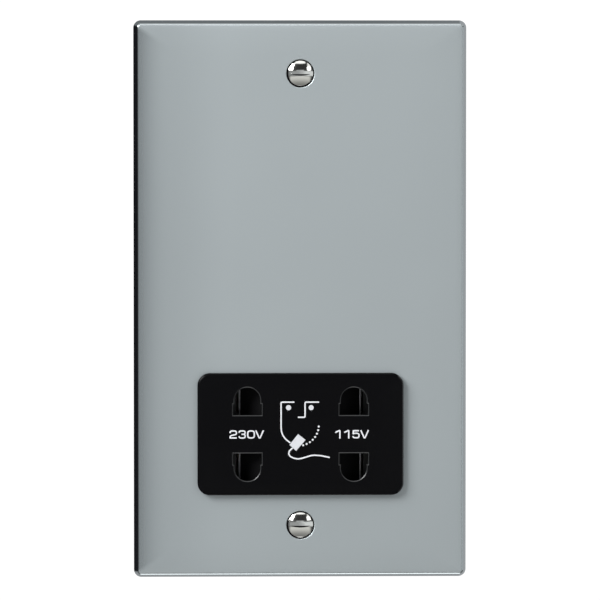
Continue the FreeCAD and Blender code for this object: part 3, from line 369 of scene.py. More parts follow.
def bright_steel(tint):
    """Satin face that turns into polish at the plate's edges and sides, with soft clouds in its tone."""
    made, graph = new_material("bright_steel")
    cloud = graph.noise(0.022, detail=2.0)
    grain = graph.noise(4.0, detail=2.0)
    tone = graph.mix(cloud, scaled(tint, 0.975), scaled(tint, 1.025))
    relief = graph.bump(grain, 0.0004 * MM)
    both = {"Base Color": tone, "Metallic": 1.0, "Normal": relief}
    polished = graph.add("ShaderNodeBsdfPrincipled", None, {**both, "Roughness": 0.13 + cloud * 0.04})
    satin = graph.add("ShaderNodeBsdfPrincipled", None, {**both, "Roughness": 0.58 + grain * 0.06})
    side, depth, height = graph.split(graph.add("ShaderNodeTexCoord", output="Object"))
    away = graph.add("ShaderNodeMath", {"operation": "ABSOLUTE"}, {0: height})
    # The satin ends at the rounded edge, and at the left, up to a mitre at each corner, on the crown
    mitre = (PLATE[1].z - away) * 1.5 - (side - PLATE[0].x)
    left = graph.ease(side, 0.4 * PLATE[0].x, 0.9 * PLATE[0].x)
    rim = graph.ease(depth, PLATE[0].y + 0.34 * MM, PLATE[0].y + 0.16 * MM)
    crown = graph.ease(depth, PLATE[0].y + 0.2 * MM, PLATE[0].y)
    face = rim + (crown - rim) * left * graph.ease(mitre, 0.0, 3.0 * MM)
    share = face * (0.93 + cloud * 0.05 - left * 0.25)
    shader = graph.add("ShaderNodeMixShader", None, {0: share, 1: polished, 2: satin})
    graph.add("ShaderNodeOutputMaterial", None, {"Surface": shader})
    return made


def print_ink(name, tint):
    """Printed ink, thin in tiny spots."""

    def paint(graph):
        thin = graph.ease(graph.noise(3.0, detail=2.0), 0.55, 0.8)
        grain = graph.noise(8.0, detail=2.0)
        return {
            "Base Color": graph.mix(thin * 0.4, tint, scaled(tint, 0.7)),
            "Roughness": 0.42 + grain * 0.15,
            "Normal": graph.bump(grain, 0.002 * MM),
        }

    return material(name, paint)


def settings():
    """The scene's three groups of settings."""
    scene = bpy.context.scene
    return scene.socket_sizes, scene.socket_colours, scene.socket_stage


def add_object(name, data):
    """Object for a mesh, light or camera, linked to the scene at the origin."""
    made = bpy.data.objects.new(name, data)
    bpy.context.scene.collection.objects.link(made)
    return made


def drop(*objects):
    """Removes helper objects."""
    for each in objects:
        bpy.data.objects.remove(each)


def plain_mesh(source):
    """Mesh of an object as its modifiers leave it."""
    bpy.context.view_layer.update()
    depsgraph = bpy.context.evaluated_depsgraph_get()
    return bpy.data.meshes.new_from_object(source.evaluated_get(depsgraph), depsgraph=depsgraph)


def piece(name, mesh, slot, nodes, *materials, body="socket"):
    """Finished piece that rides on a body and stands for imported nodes."""
    made = add_object(name, mesh)
    mesh.name = name
    kinds = [polygon.material_index for polygon in mesh.polygons]
    mesh.materials.clear()
    for each in materials:
        mesh.materials.append(each)
    mesh.polygons.foreach_set("material_index", kinds)
    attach(made, body)
    if nodes:
        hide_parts(*nodes)


def merged_node(node):
    """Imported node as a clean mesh: shared corners, and flat faces joined."""
    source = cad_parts[node].data
    mesh = bpy.data.meshes.new(node + "_fine")
    mesh.from_pydata([v.co for v in source.vertices], [], [list(p.vertices) for p in source.polygons])
    work = bmesh.new()
    work.from_mesh(mesh)
    bmesh.ops.remove_doubles(work, verts=work.verts, dist=0.001 * MM)
    bmesh.ops.dissolve_limit(work, angle_limit=math.radians(0.3), verts=work.verts, edges=work.edges)
    work.to_mesh(mesh)
    work.free()
    return mesh


def softened(mesh, width):
    """The same mesh with its sharp edges rounded and smooth shading."""
    for polygon in mesh.polygons:
        polygon.use_smooth = True
    holder = add_object("holder", mesh)
    bevel = holder.modifiers.new("Soft", "BEVEL")
    bevel.width = width
    bevel.segments = 2
    bevel.limit_method = "ANGLE"
    bevel.angle_limit = math.radians(32)
    bevel.harden_normals = True
    made = plain_mesh(holder)
    drop(holder)
    return made


def fine_nodes(slot, finish, width, *nodes, body="socket"):
    """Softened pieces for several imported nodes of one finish."""
    for node in nodes:
        piece(node + "_fine", softened(merged_node(node), width), slot, (node,), finish, body=body)


def join_meshes(name, *meshes):
    """One mesh from several."""
    work = bmesh.new()
    for mesh in meshes:
        work.from_mesh(mesh)
    made = bpy.data.meshes.new(name)
    work.to_mesh(made)
    work.free()
    return made


def rounded_loop(half_w, half_h, radius, centre=(0.0, 0.0)):
    """Points of a rounded rectangle in the XZ plane, anticlockwise from the right side."""
    points = []
    for quarter, (i, j) in enumerate(((1, 1), (-1, 1), (-1, -1), (1, -1))):
        for step in range(CORNER_STEPS + 1):
            angle = math.radians(90 * (quarter + step / CORNER_STEPS))
            x = centre[0] + i * (half_w - radius) + radius * math.cos(angle)
            z = centre[1] + j * (half_h - radius) + radius * math.sin(angle)
            points.append((x, z))
    return points


def circle_loop(radius, centre, steps=64):
    """Points of a circle in the XZ plane."""
    turns = [2 * math.pi * step / steps for step in range(steps)]
    return [(centre[0] + radius * math.cos(a), centre[1] + radius * math.sin(a)) for a in turns]


def add_ring(work, loop, y):
    """Vertices of one loop at a depth."""
    return [work.verts.new((x, y, z)) for x, z in loop]


def bridge(work, one, two):
    """Quads between two rings of equal length."""
    count = len(one)
    for k in range(count):
        after = (k + 1) % count
        work.faces.new((one[k], one[after], two[after], two[k]))


def cap(work, rings):
    """Flat face inside the first ring, with the other rings as holes."""
    edges = []
    for ring in rings:
        for k, vertex in enumerate(ring):
            ends = (vertex, ring[k - 1])
            edges.append(work.edges.get(ends) or work.edges.new(ends))
    bmesh.ops.triangle_fill(work, use_beauty=True, edges=edges)


def close(work, name, sharp):
    """Turns a bmesh into a mesh with outward normals, and edges sharp above an angle in degrees."""
    bmesh.ops.recalc_face_normals(work, faces=work.faces)
    mesh = bpy.data.meshes.new(name)
    work.to_mesh(mesh)
    work.free()
    for polygon in mesh.polygons:
        polygon.use_smooth = True
    mesh.set_sharp_from_angle(angle=math.radians(sharp))
    return mesh


def lathe(name, profile, steps, sharp):
    """Turned solid about the Y axis from (radius, y) pairs; a zero radius closes an end."""
    work = bmesh.new()
    rings = []
    for radius, y in profile:
        if radius > 0:
            rings.append(add_ring(work, circle_loop(radius, (0.0, 0.0), steps), y))
        else:
            rings.append([work.verts.new((0.0, y, 0.0))] * steps)
    for one, two in zip(rings, rings[1:]):
        for k in range(steps):
            corners = dict.fromkeys((one[k - 1], one[k], two[k], two[k - 1]))
            work.faces.new(list(corners))
    return close(work, name, sharp)


def geometry_tree(name, **inputs):
    """New geometry tree with inputs named by kind, as its graph and the flows out of its inputs."""
    tree = bpy.data.node_groups.new(name, "GeometryNodeTree")
    for kind, labels in {"Geometry": "Geometry", **inputs, "Material": "Material"}.items():
        for label in labels.split():
            tree.interface.new_socket(label, in_out="INPUT", socket_type="NodeSocket" + kind)
    tree.interface.new_socket("Geometry", in_out="OUTPUT", socket_type="NodeSocketGeometry")
    graph = Graph(tree)
    source = graph.add("NodeGroupInput").socket.node
    return graph, {socket.name: Flow(graph, socket) for socket in source.outputs if socket.name}


def end_tree(graph, made, flows):
    """Ends a geometry tree: real geometry, smooth, with its material."""
    real = graph.shape("RealizeInstances", Geometry=made)
    smooth = graph.shape("SetShadeSmooth", Geometry=real)
    painted = graph.shape("SetMaterial", Geometry=smooth, Material=flows["Material"])
    graph.add("NodeGroupOutput", None, {"Geometry": painted})
    return graph.tree


def coil_tree():
    """Helix of round or pointed wire that starts at a point and runs along X or Y."""
    graph, flows = geometry_tree("coil", Float="Turns Radius Length Wire", Int="Sides", Vector="Start Turn")
    path = graph.shape(
        "CurveSpiral",
        Resolution=28,
        Rotations=flows["Turns"],
        Start_Radius=flows["Radius"],
        End_Radius=flows["Radius"],
        Height=flows["Length"],
    )
    section = graph.shape("CurvePrimitiveCircle", Resolution=flows["Sides"], Radius=flows["Wire"])
    wire = graph.shape("CurveToMesh", Curve=path, Profile_Curve=section, Fill_Caps=True)
    placed = graph.shape("Transform", Geometry=wire, Translation=flows["Start"], Rotation=flows["Turn"])
    return end_tree(graph, placed, flows)


def stack_tree():
    """Row of copies of the starting mesh."""
    graph, flows = geometry_tree("stack", Int="Count", Vector="Step")
    row = graph.shape("MeshLine", Count=flows["Count"], Offset=flows["Step"])
    copies = graph.shape("InstanceOnPoints", Points=row, Instance=flows["Geometry"])
    return end_tree(graph, copies, flows)


def winding_tree():
    """Side-by-side loops of wire round a coil, over the coil's own body taken in a little."""
    graph, flows = geometry_tree(
        "winding", Float="Depth Height Corner Wire", Int="Count", Vector="Start Step"
    )
    outline = graph.shape("CurvePrimitiveQuadrilateral", Width=flows["Depth"], Height=flows["Height"])
    rounded = graph.shape(
        "FilletCurve", "POLY", Curve=outline, Count=6, Radius=flows["Corner"], Limit_Radius=True
    )
    section = graph.shape("CurvePrimitiveCircle", Resolution=8, Radius=flows["Wire"])
    loop = graph.shape("CurveToMesh", Curve=rounded, Profile_Curve=section)
    upright = graph.shape("Transform", Geometry=loop, Rotation=(math.pi / 2, 0.0, math.pi / 2))
    row = graph.shape("MeshLine", Count=flows["Count"], Start_Location=flows["Start"], Offset=flows["Step"])
    loops = graph.shape("InstanceOnPoints", Points=row, Instance=upright)
    inward = graph.shape("InputNormal") * -WINDING_SHRINK
    body = graph.shape("SetPosition", Geometry=flows["Geometry"], Offset=inward)
    both = graph.shape("JoinGeometry", Geometry=[body, loops])
    return end_tree(graph, both, flows)


def sweep_tree():
    """Round or flattened wire along the starting mesh's edges, with rounded bends."""
    graph, flows = geometry_tree("sweep", Float="Width Height Bend", Int="Sides")
    path = graph.shape("MeshToCurve", Mesh=flows["Geometry"])
    rounded = graph.shape("FilletCurve", "POLY", Curve=path, Count=8, Radius=flows["Bend"], Limit_Radius=True)
    upright = graph.shape("SetCurveNormal", "Z_UP", Curve=rounded)
    section = graph.shape("CurvePrimitiveCircle", Resolution=flows["Sides"], Radius=1.0)
    size = graph.add("ShaderNodeCombineXYZ", None, {0: flows["Width"], 1: flows["Height"], 2: 1.0})
    flat = graph.shape("Transform", Geometry=section, Scale=size)
    tube = graph.shape("CurveToMesh", Curve=upright, Profile_Curve=flat, Fill_Caps=True)
    return end_tree(graph, tube, flows)


def dots_tree():
    """Flat dots at even steps along an arc through three points."""
    graph, flows = geometry_tree("dots", Vector="Start Middle End", Int="Count", Float="Radius Height")
    points = {name: flows[name] for name in ("Start", "Middle", "End")}
    arc = graph.shape("CurveArc", "POINTS", Resolution=64, **points)
    even = graph.shape("ResampleCurve", "COUNT", Curve=arc, Count=flows["Count"])
    ball = graph.shape("MeshUVSphere", Segments=16, Rings=6, Radius=1.0)
    width = flows["Radius"]
    size = graph.add("ShaderNodeCombineXYZ", None, {0: width, 1: width, 2: flows["Height"]})
    dots = graph.shape("InstanceOnPoints", Points=even, Instance=ball, Scale=size)
    return end_tree(graph, dots, flows)


def grow(tree, mesh=None, **values):
    """Plain mesh that a geometry tree makes from a starting mesh, or from its values alone."""
    if mesh is None:
        mesh = bpy.data.meshes.new("seed")
    holder = add_object("holder", mesh)
    modifier = holder.modifiers.new("Grow", "NODES")
    modifier.node_group = tree
    for item in tree.interface.items_tree:
        if item.in_out == "INPUT" and item.name in values:
            modifier[item.identifier] = values[item.name]
    made = plain_mesh(holder)
    drop(holder)
    return made


def line_mesh(paths):
    """Mesh of open or closed polylines; a path that ends where it starts is closed."""
    corners = []
    edges = []
    for path in paths:
        closed = path[0] == path[-1]
        points = path[:-1] if closed else path
        first = len(corners)
        corners += points
        edges += [(first + k, first + k + 1) for k in range(len(points) - 1)]
        if closed:
            edges.append((len(corners) - 1, first))
    mesh = bpy.data.meshes.new("lines")
    mesh.from_pydata(corners, edges, [])
    return mesh


def in_metres(points):
    """Points in metres from points in millimetres."""
    return [tuple(value * MM for value in point) for point in points]


def flat_lines(lines):
    """Mesh of lines on the XY plane from points in millimetres."""
    return line_mesh([in_metres((x, y, 0.0) for x, y in line) for line in lines])


def fixing_levels(sizes):
    """Heights of the two fixing screws."""
    return FIXINGS[0].z + sizes.head, FIXINGS[1].z - sizes.head


def plate_profile(sizes):
    """Section of the plate's edge as (inset, depth) pairs, from the flat face round to the inner face."""
    front = PLATE[0].y
    back = PLATE[1].y
    shoulder = sizes.draft + sizes.edge
    section = [(shoulder + sizes.crown_width + FACE_MARGIN, front)]
    for step in range(EDGE_STEPS + 1):
        t = step / EDGE_STEPS
        section.append((shoulder + sizes.crown_width * (1 - t), front + sizes.crown_drop * t * t))
    start = math.atan(2 * sizes.crown_drop / sizes.crown_width)
    end = math.pi / 2 - math.atan(sizes.draft / (back - front))
    for step in range(1, EDGE_STEPS + 1):
        angle = start + (end - start) * step / EDGE_STEPS
        inset = sizes.draft + sizes.edge * (1 - math.sin(angle) + math.sin(start))
        depth = front + sizes.crown_drop + sizes.edge * (math.cos(start) - math.cos(angle))
        section.append((inset, depth))
    inner_front = front + sizes.sheet
    inner_inset = sizes.sheet + sizes.draft * (back - inner_front) / (back - front)
    section += [(0.0, back - REAR_EDGE), (REAR_EDGE, back), (sizes.sheet, back), (inner_inset, inner_front)]
    return section


def plate_mesh(sizes):
    """Pressed plate with a crowned face, rounded edge, splayed sides, window and screw seats."""
    work = bmesh.new()
    front = PLATE[0].y
    back = front + sizes.sheet
    shoulder = sizes.draft + sizes.edge
    rings = []
    for inset, depth in plate_profile(sizes):
        inset_x = inset + (SIDE_CROWN - 1) * max(inset - shoulder, 0.0)
        radius = max(sizes.corner - inset, SHARPEST_CORNER)
        rings.append(add_ring(work, rounded_loop(PLATE[1].x - inset_x, PLATE[1].z - inset, radius), depth))
    for one, two in zip(rings, rings[1:]):
        bridge(work, one, two)
    middle = (INSERT_MIDDLE.x, INSERT_MIDDLE.z)
    window = rounded_loop(
        INSERT_HALF.x - WINDOW_LAP, INSERT_HALF.z - WINDOW_LAP, WINDOW_CORNER, middle
    )
    front_holes = [add_ring(work, window, front)]
    back_holes = [add_ring(work, window, back)]
    bridge(work, front_holes[0], back_holes[0])
    seat = (
        (sizes.seat + SEAT_LIP, front),
        (sizes.seat, front + SEAT_LIP / 2),
        (sizes.seat, front + sizes.rim_depth),
        (sizes.seat_back, back),
    )
    for z in fixing_levels(sizes):
        steps = [add_ring(work, circle_loop(radius, (0.0, z)), depth) for radius, depth in seat]
        for one, two in zip(steps, steps[1:]):
            bridge(work, one, two)
        front_holes.append(steps[0])
        back_holes.append(steps[-1])
    cap(work, [rings[0]] + front_holes)
    cap(work, [rings[-1]] + back_holes)
    mesh = close(work, "plate", 20)
    # Painted shade: the walls of each screw seat's groove take the second, near-black finish (seat_shade)
    for polygon in mesh.polygons:
        x, y, z = polygon.center
        away = min(math.hypot(x, z - level) for level in fixing_levels(sizes))
        polygon.material_index = int(away < sizes.seat and front + SEAT_LIP / 2 < y < back)
    return mesh


class SOCKET_OT_plate(bpy.types.Operator):
    """Makes the bright steel plate"""

    bl_idname = "socket.plate"
    bl_label = "Plate"

    def execute(self, context):
        sizes, colours, _ = settings()
        finish = bright_steel(colours.steel)
        shade = metal("seat_shade", colours.shade, 0.6)
        piece("plate", plate_mesh(sizes), "plate_steel", ("front_plate",), finish, shade)
        return {"FINISHED"}


def screw_profile(sizes):
    """Section of a fixing screw as (radius, y) pairs, from the crown of its head to its tip."""
    front = PLATE[0].y
    crown = FIXINGS[0].y
    tip = FIXINGS[1].y
    rim = sizes.head - HEAD_CHAMFER
    rise = front - crown
    ball = (rim**2 + rise**2) / (2 * rise)
    profile = [(0.0, crown)]
    for step in range(1, HEAD_STEPS + 1):
        radius = rim * step / HEAD_STEPS
        profile.append((radius, crown + ball - math.sqrt(ball**2 - radius**2)))
    neck = front + sizes.sheet
    waist = sizes.seat_back - SEAT_PLAY
    profile += [(sizes.head, front + HEAD_EDGE), (sizes.head, front + HEAD_WALL)]
    profile += [(waist, neck), (THREAD_CORE, neck + waist - THREAD_CORE)]
    profile += [(THREAD_CORE, tip - TIP_LENGTH), (TIP_RADIUS, tip), (0.0, tip)]
    return profile


def slot_cutter(sizes):
    """Bar that cuts a fixing screw's slot, whose lower side slants."""
    half = sizes.slot / 2
    crown = FIXINGS[0].y
    above = crown - half
    floor = crown + sizes.slot_depth
    section = [(above, half), (floor, half), (floor, SLOT_SLANT - half), (crown, -half), (above, -half)]
    work = bmesh.new()
    ends = [add_ring(work, section, x) for x in (-2 * sizes.head, 2 * sizes.head)]
    bridge(work, *ends)
    for end in ends:
        work.faces.new(end)
    mesh = close(work, "cutter", 30)
    mesh.transform(Matrix.Rotation(math.radians(90), 4, "Z"))
    return add_object("cutter", mesh)


def slotted_screw(sizes):
    """Fixing screw with its slot and without its thread."""
    blank = add_object("blank", lathe("blank", screw_profile(sizes), 64, 40))
    cutter = slot_cutter(sizes)
    cut = blank.modifiers.new("Slot", "BOOLEAN")
    cut.object = cutter
    cut.solver = "EXACT"
    mesh = plain_mesh(blank)
    drop(blank, cutter)
    return softened(mesh, sizes.fine)


class SOCKET_OT_fixings(bpy.types.Operator):
    """Makes the two slotted fixing screws"""

    bl_idname = "socket.fixings"
    bl_label = "Fixing Screws"

    def execute(self, context):
        sizes, colours, _ = settings()
        finish = metal("bright_nickel", colours.nickel, 0.1, relief=0.0006, stain=0.04)
        shade = metal("slot_shade", colours.shade, 0.6)
        run = FIXINGS[1].y - 2 * THREAD_END
        thread = grow(
            coil_tree(),
            Turns=run / sizes.thread,
            Radius=THREAD_MIDDLE,
            Length=run,
            Wire=THREAD_WIRE,
            Sides=4,
            Start=(0.0, THREAD_END, 0.0),
            Turn=(-math.pi / 2, 0.0, 0.0),
            Material=finish,
        )
        screw = join_meshes("screw", slotted_screw(sizes), thread)
        low, high = fixing_levels(sizes)
        screw.transform(Matrix.Translation((0.0, 0.0, low)))
        both = grow(stack_tree(), screw, Count=2, Step=(0.0, 0.0, high - low), Material=finish)
        # Painted shade: the slots' upward-facing walls and the heads' lower-left rims take the near-black
        # slot_shade finish
        for polygon in both.polygons:
            x, y, z = polygon.center
            offset = min((z - level for level in (low, high)), key=abs)
            in_slot = abs(offset) < sizes.slot and polygon.normal.z > 0.3
            outside = math.hypot(x, offset) > sizes.head - HEAD_CHAMFER
            at_rim = outside and polygon.normal.x + polygon.normal.z < 0
            polygon.material_index = int(y < PLATE[0].y + sizes.rim_depth and (in_slot or at_rim))
        piece("fixing_screws", both, "screw_nickel", ("plate_screws",), finish, shade)
        return {"FINISHED"}


class SOCKET_OT_insert(bpy.types.Operator):
    """Makes the black insert with its softened edges, with a painted highlight on the slanted edges round the
    apertures and at the right
    """

    bl_idname = "socket.insert"
    bl_label = "Insert"

    def execute(self, context):
        sizes, colours, _ = settings()
        body = plastic("insert_black", colours.insert, 0.24, 0.002, 0.06)
        edges = plastic("insert_edges", colours.edges, 0.3, 0.002, 0.4)
        mesh = merged_node("socket_front")
        for vertex in mesh.vertices:
            if vertex.co.y < INSERT[0].y + 0.01 * MM:
                vertex.co.y += FACE_SETBACK
        fine = softened(mesh, sizes.soft)
        # Painted highlight: slanted faces round the apertures and at the right edge take the lighter
        # insert_edges finish
        for polygon in fine.polygons:
            place = polygon.center - INSERT_MIDDLE
            inside = abs(place.x) < 0.8 * INSERT_HALF.x and abs(place.z) < 0.9 * INSERT_HALF.z
            slanted = -0.92 < polygon.normal.y < -0.3
            polygon.material_index = int(slanted and (inside or place.x > 0.95 * INSERT_HALF.x))
        piece("insert", fine, "insert_black", ("socket_front",), body, edges)
        return {"FINISHED"}


# Strokes of the digits and the letter, each in a box of one by one
GLYPHS = {
    "2": [
        [
            (0, 0.7), (0.04, 0.9), (0.2, 0.99), (0.5, 1), (0.8, 0.99), (0.96, 0.9), (1, 0.72), (0.95, 0.55),
            (0.8, 0.47), (0.5, 0.42), (0.2, 0.35), (0.05, 0.25), (0, 0.1), (0, 0), (1.05, 0),
        ],
    ],
    "3": [
        [
            (0, 0.74), (0.05, 0.91), (0.2, 0.99), (0.5, 1), (0.8, 0.99), (0.95, 0.9), (0.98, 0.74),
            (0.92, 0.6), (0.75, 0.53), (0.4, 0.53),
        ],
        [
            (0.4, 0.53), (0.78, 0.52), (0.95, 0.43), (1, 0.27), (0.96, 0.1), (0.8, 0.01), (0.5, 0),
            (0.2, 0.01), (0.05, 0.1), (0, 0.26),
        ],
    ],
    "0": [
        [
            (0.5, 1), (0.78, 0.98), (0.95, 0.88), (1, 0.7), (1, 0.3), (0.95, 0.12), (0.78, 0.02), (0.5, 0),
            (0.22, 0.02), (0.05, 0.12), (0, 0.3), (0, 0.7), (0.05, 0.88), (0.22, 0.98), (0.5, 1),
        ],
    ],
    "1": [[(0, 0.74), (0.3, 0.86), (0.86, 1.02), (1, 1.02), (1, -0.1)]],
    "5": [
        [
            (0.98, 1), (0.08, 1), (0.03, 0.56), (0.25, 0.63), (0.55, 0.65), (0.82, 0.61), (0.97, 0.5),
            (1, 0.33), (0.96, 0.12), (0.8, 0.02), (0.5, 0), (0.2, 0.02), (0.05, 0.1), (0, 0.24),
        ],
    ],
    "V": [[(-0.02, 1.08), (0.44, 0), (0.56, 0), (1.02, 1.08)]],
}
# Left and right ends of each sign, and the heights of all of them, in millimetres from the insert's middle
VOLTAGES = (
    ("2", -19.0, -16.93),
    ("3", -16.6, -14.6),
    ("0", -14.28, -12.18),
    ("V", -12.1, -9.76),
    ("1", 9.1, 10.68),
    ("1", 11.5, 13.05),
    ("5", 13.78, 15.8),
    ("V", 15.93, 18.25),
)
CAP_LOW = -1.15
CAP_HIGH = 1.1
# Lines and forms of the shaver sign in millimetres from the insert's middle
FACE_LINE = (
    (-1.67, 8.58), (-5.2, 8.58), (-5.2, 1.78), (-5.12, 0.83), (-4.78, -0.19), (-4.13, -1.15), (-3.47, -1.74),
    (-2.75, -2.28),
)
NOSE_LINE = ((4.91, 8.58), (1.2, 8.58), (1.2, 4.54), (-0.72, 4.54))
CORD_LINE = (
    (-2.15, -3.66), (-2.99, -4.44), (-3.17, -5.27), (-2.75, -5.92), (-1.91, -6.36), (-0.72, -6.6),
    (0.24, -6.46), (1.68, -6.03), (2.87, -5.69), (3.83, -5.61), (5.5, -5.75), (7.78, -6.23),
)
EYES = ((-3.23, 7.11, 0.7), (2.81, 7.11, 0.68))
SHAVER = ((-0.66, 0.05), (1.32, -1.51), (-1.2, -4.44), (-2.99, -2.82))
DOT_ARC = ((4.85, 2.06), (3.55, -1.13), (0.68, -2.94))


def voltage_strokes(ink):
    """Strokes of the two voltages in millimetres, kept half a line's width inside their boxes."""
    tall = CAP_HIGH - CAP_LOW - 2 * ink
    strokes = []
    for glyph, left, right in VOLTAGES:
        wide = right - left - 2 * ink
        for stroke in GLYPHS[glyph]:
            strokes.append([(left + ink + u * wide, CAP_LOW + ink + v * tall) for u, v in stroke])
    return strokes


def filled_forms():
    """The sign's shaver and eyes as thin plates, with their upper faces in the second finish."""
    outlines = [[(x * MM, y * MM) for x, y in SHAVER]]
    for x, y, radius in EYES:
        outlines.append(circle_loop(radius * MM, (x * MM, y * MM), 40))
    work = bmesh.new()
    for outline in outlines:
        lower = [work.verts.new((x, y, -PRINT_HEIGHT)) for x, y in outline]
        upper = [work.verts.new((x, y, PRINT_HEIGHT)) for x, y in outline]
        bridge(work, lower, upper)
        work.faces.new(lower[::-1])
        work.faces.new(upper).material_index = 1
    return close(work, "forms", 40)


class SOCKET_OT_markings(bpy.types.Operator):
    """Prints the two voltages and the shaver sign on the insert"""

    bl_idname = "socket.markings"
    bl_label = "Markings"

    def execute(self, context):
        sizes, colours, _ = settings()
        finish = print_ink("ink_white", colours.ink)
        halftone = print_ink("ink_halftone", colours.halftone)
        tree = sweep_tree()
        line = {"Width": sizes.ink / 2, "Height": PRINT_HEIGHT, "Sides": 12, "Material": finish}
        words = grow(tree, flat_lines(voltage_strokes(sizes.ink / 2 / MM)), Bend=DIGIT_BEND, **line)
        strokes = grow(tree, flat_lines((FACE_LINE, NOSE_LINE, CORD_LINE)), Bend=SIGN_BEND, **line)
        start, middle, end = in_metres((x, y, 0.0) for x, y in DOT_ARC)
        dots = grow(
            dots_tree(),
            Start=start,
            Middle=middle,
            End=end,
            Count=DOT_COUNT,
            Radius=DOT_RADIUS,
            Height=PRINT_HEIGHT,
            Material=finish,
        )
        # The dots take the first finish, as the lines do
        dots.polygons.foreach_set("material_index", [0] * len(dots.polygons))
        sign = join_meshes("sign", strokes, dots, filled_forms())
        place = Matrix.Translation((INSERT_MIDDLE.x, INSERT[0].y + PRINT_SETBACK, INSERT_MIDDLE.z))
        facing = place @ Matrix.Rotation(math.radians(90), 4, "X")
        for name, mesh in (("voltage_marks", words), ("shaver_sign", sign)):
            mesh.transform(facing)
            piece(name, mesh, "marking_white", (), finish, halftone)
        return {"FINISHED"}


class SOCKET_OT_shutter(bpy.types.Operator):
    """Makes the sliding shutter, its switch bridge and its return springs"""

    bl_idname = "socket.shutter"
    bl_label = "Shutter"

    def execute(self, context):
        sizes, colours, _ = settings()
        slider = plastic("shutter_black", colours.shutter, 0.45, 0.004, 0.05)
        painted_edge_highlight = plastic("shutter_edges", colours.painted_edge_highlight, 0.4, 0.003, 0.4)
        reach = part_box("shutter_slider")[1].x - 3 * sizes.soft
        work = bmesh.new()
        work.from_mesh(merged_node("shutter_slider"))
        for x in (-reach, reach):
            every = work.verts[:] + work.edges[:] + work.faces[:]
            bmesh.ops.bisect_plane(work, geom=every, plane_co=(x, 0.0, 0.0), plane_no=(1.0, 0.0, 0.0))
        mesh = softened(close(work, "slider", 180), sizes.soft)
        # Painted highlight: front-facing faces beyond the reach take the light grey shutter_edges finish
        for polygon in mesh.polygons:
            polygon.material_index = int(abs(polygon.center.x) > reach and polygon.normal.y < -0.2)
        nodes = ("shutter_slider",)
        piece("shutter_slider_fine", mesh, "shutter_black", nodes, slider, painted_edge_highlight, body="shutter")
        bronze = metal("bridge_bronze", colours.bronze, 0.3, (0.1, 1.0, 1.0))
        fine_nodes("contact_bronze", bronze, sizes.fine, "switch_bridge", body="shutter")
        steel = metal("spring_steel", colours.spring, 0.25)
        for name in ("return_spring_left", "return_spring_right"):
            low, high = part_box(name)
            level = ((low.y + high.y) / 2, (low.z + high.z) / 2)
            mesh = grow(
                coil_tree(),
                Turns=SPRING_TURNS,
                Radius=(high.z - low.z) / 2 - SPRING_WIRE,
                Length=high.x - low.x - 2 * SPRING_WIRE,
                Wire=SPRING_WIRE,
                Sides=10,
                Start=(low.x + SPRING_WIRE, *level),
                Turn=(0.0, math.pi / 2, 0.0),
                Material=steel,
            )
            made = add_object(name + "_fine", mesh)
            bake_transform(made)
            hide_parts(name)
        return {"FINISHED"}


class SOCKET_OT_mouldings(bpy.types.Operator):
    """Makes the chassis, contact carrier, terminal block and rear cover"""

    bl_idname = "socket.mouldings"
    bl_label = "Mouldings"

    def execute(self, context):
        sizes, colours, _ = settings()
        inner = plastic("inner_moulding", colours.moulding, 0.5)
        fine_nodes("inner_moulding", inner, sizes.soft, "chassis")
        carrier = plastic("carrier_black", colours.carrier, 0.5)
        fine_nodes("carrier_black", carrier, sizes.soft, "contact_carrier")
        block = plastic("terminal_moulding", colours.terminals, 0.45)
        fine_nodes("terminal_moulding", block, sizes.soft, "terminal_block")
        cover = plastic("cover_moulding", colours.cover, 0.55, 0.02, 0.5, 2.5)
        fine_nodes("cover_moulding", cover, 2 * sizes.soft, "rear_cover")
        return {"FINISHED"}


CONTACTS = (
    "contact_230_upper", "contact_230_lower", "contact_115_upper", "contact_115_lower", "switch_contact_line",
    "switch_contact_load",
)
TERMINALS = ("terminal_line", "terminal_neutral", "terminal_earth")
INNER_SCREWS = ("terminal_screws", "socket_screws", "core_bolts", "cover_screws")


class SOCKET_OT_contacts(bpy.types.Operator):
    """Makes the contacts, terminals, earth strap and inner screws"""

    bl_idname = "socket.contacts"
    bl_label = "Contacts and Terminals"

    def execute(self, context):
        sizes, colours, _ = settings()
        bronze = metal("contact_bronze", colours.bronze, 0.3, (1.0, 0.1, 1.0))
        fine_nodes("contact_bronze", bronze, sizes.fine, *CONTACTS)
        brass = metal("terminal_brass", colours.brass, 0.28, (1.0, 1.0, 0.1))
        fine_nodes("terminal_brass", brass, 2 * sizes.fine, *TERMINALS)
        copper = metal("strap_copper", colours.copper, 0.3, (0.1, 1.0, 1.0))
        fine_nodes("strap_copper", copper, sizes.fine, "earth_strap")
        zinc = metal("screw_zinc", colours.zinc, 0.32)
        fine_nodes("screw_zinc", zinc, 3 * sizes.fine, *INNER_SCREWS)
        return {"FINISHED"}


def e_outline(low, high, leg):
    """Outline of the core's E-shaped sheet, whose middle leg is twice as wide as the others."""
    inner = low.x + leg
    outline = [(low.x, low.z), (high.x, low.z)]
    for start, end in ((1, 2), (4, 5)):
        outline += [(high.x, low.z + start * leg), (inner, low.z + start * leg)]
        outline += [(inner, low.z + end * leg), (high.x, low.z + end * leg)]
    return outline + [(high.x, high.z), (low.x, high.z)]


def lamination(name, outline, hole, front, thickness):
    """One sheet of the core, with a hole for its bolt."""
    work = bmesh.new()
    loops = (outline, circle_loop(BOLT_HOLE, hole, 24))
    faces = [[add_ring(work, loop, y) for loop in loops] for y in (front, front + thickness)]
    for one, two in zip(*faces):
        bridge(work, one, two)
    for rings in faces:
        cap(work, rings)
    return close(work, name, 30)


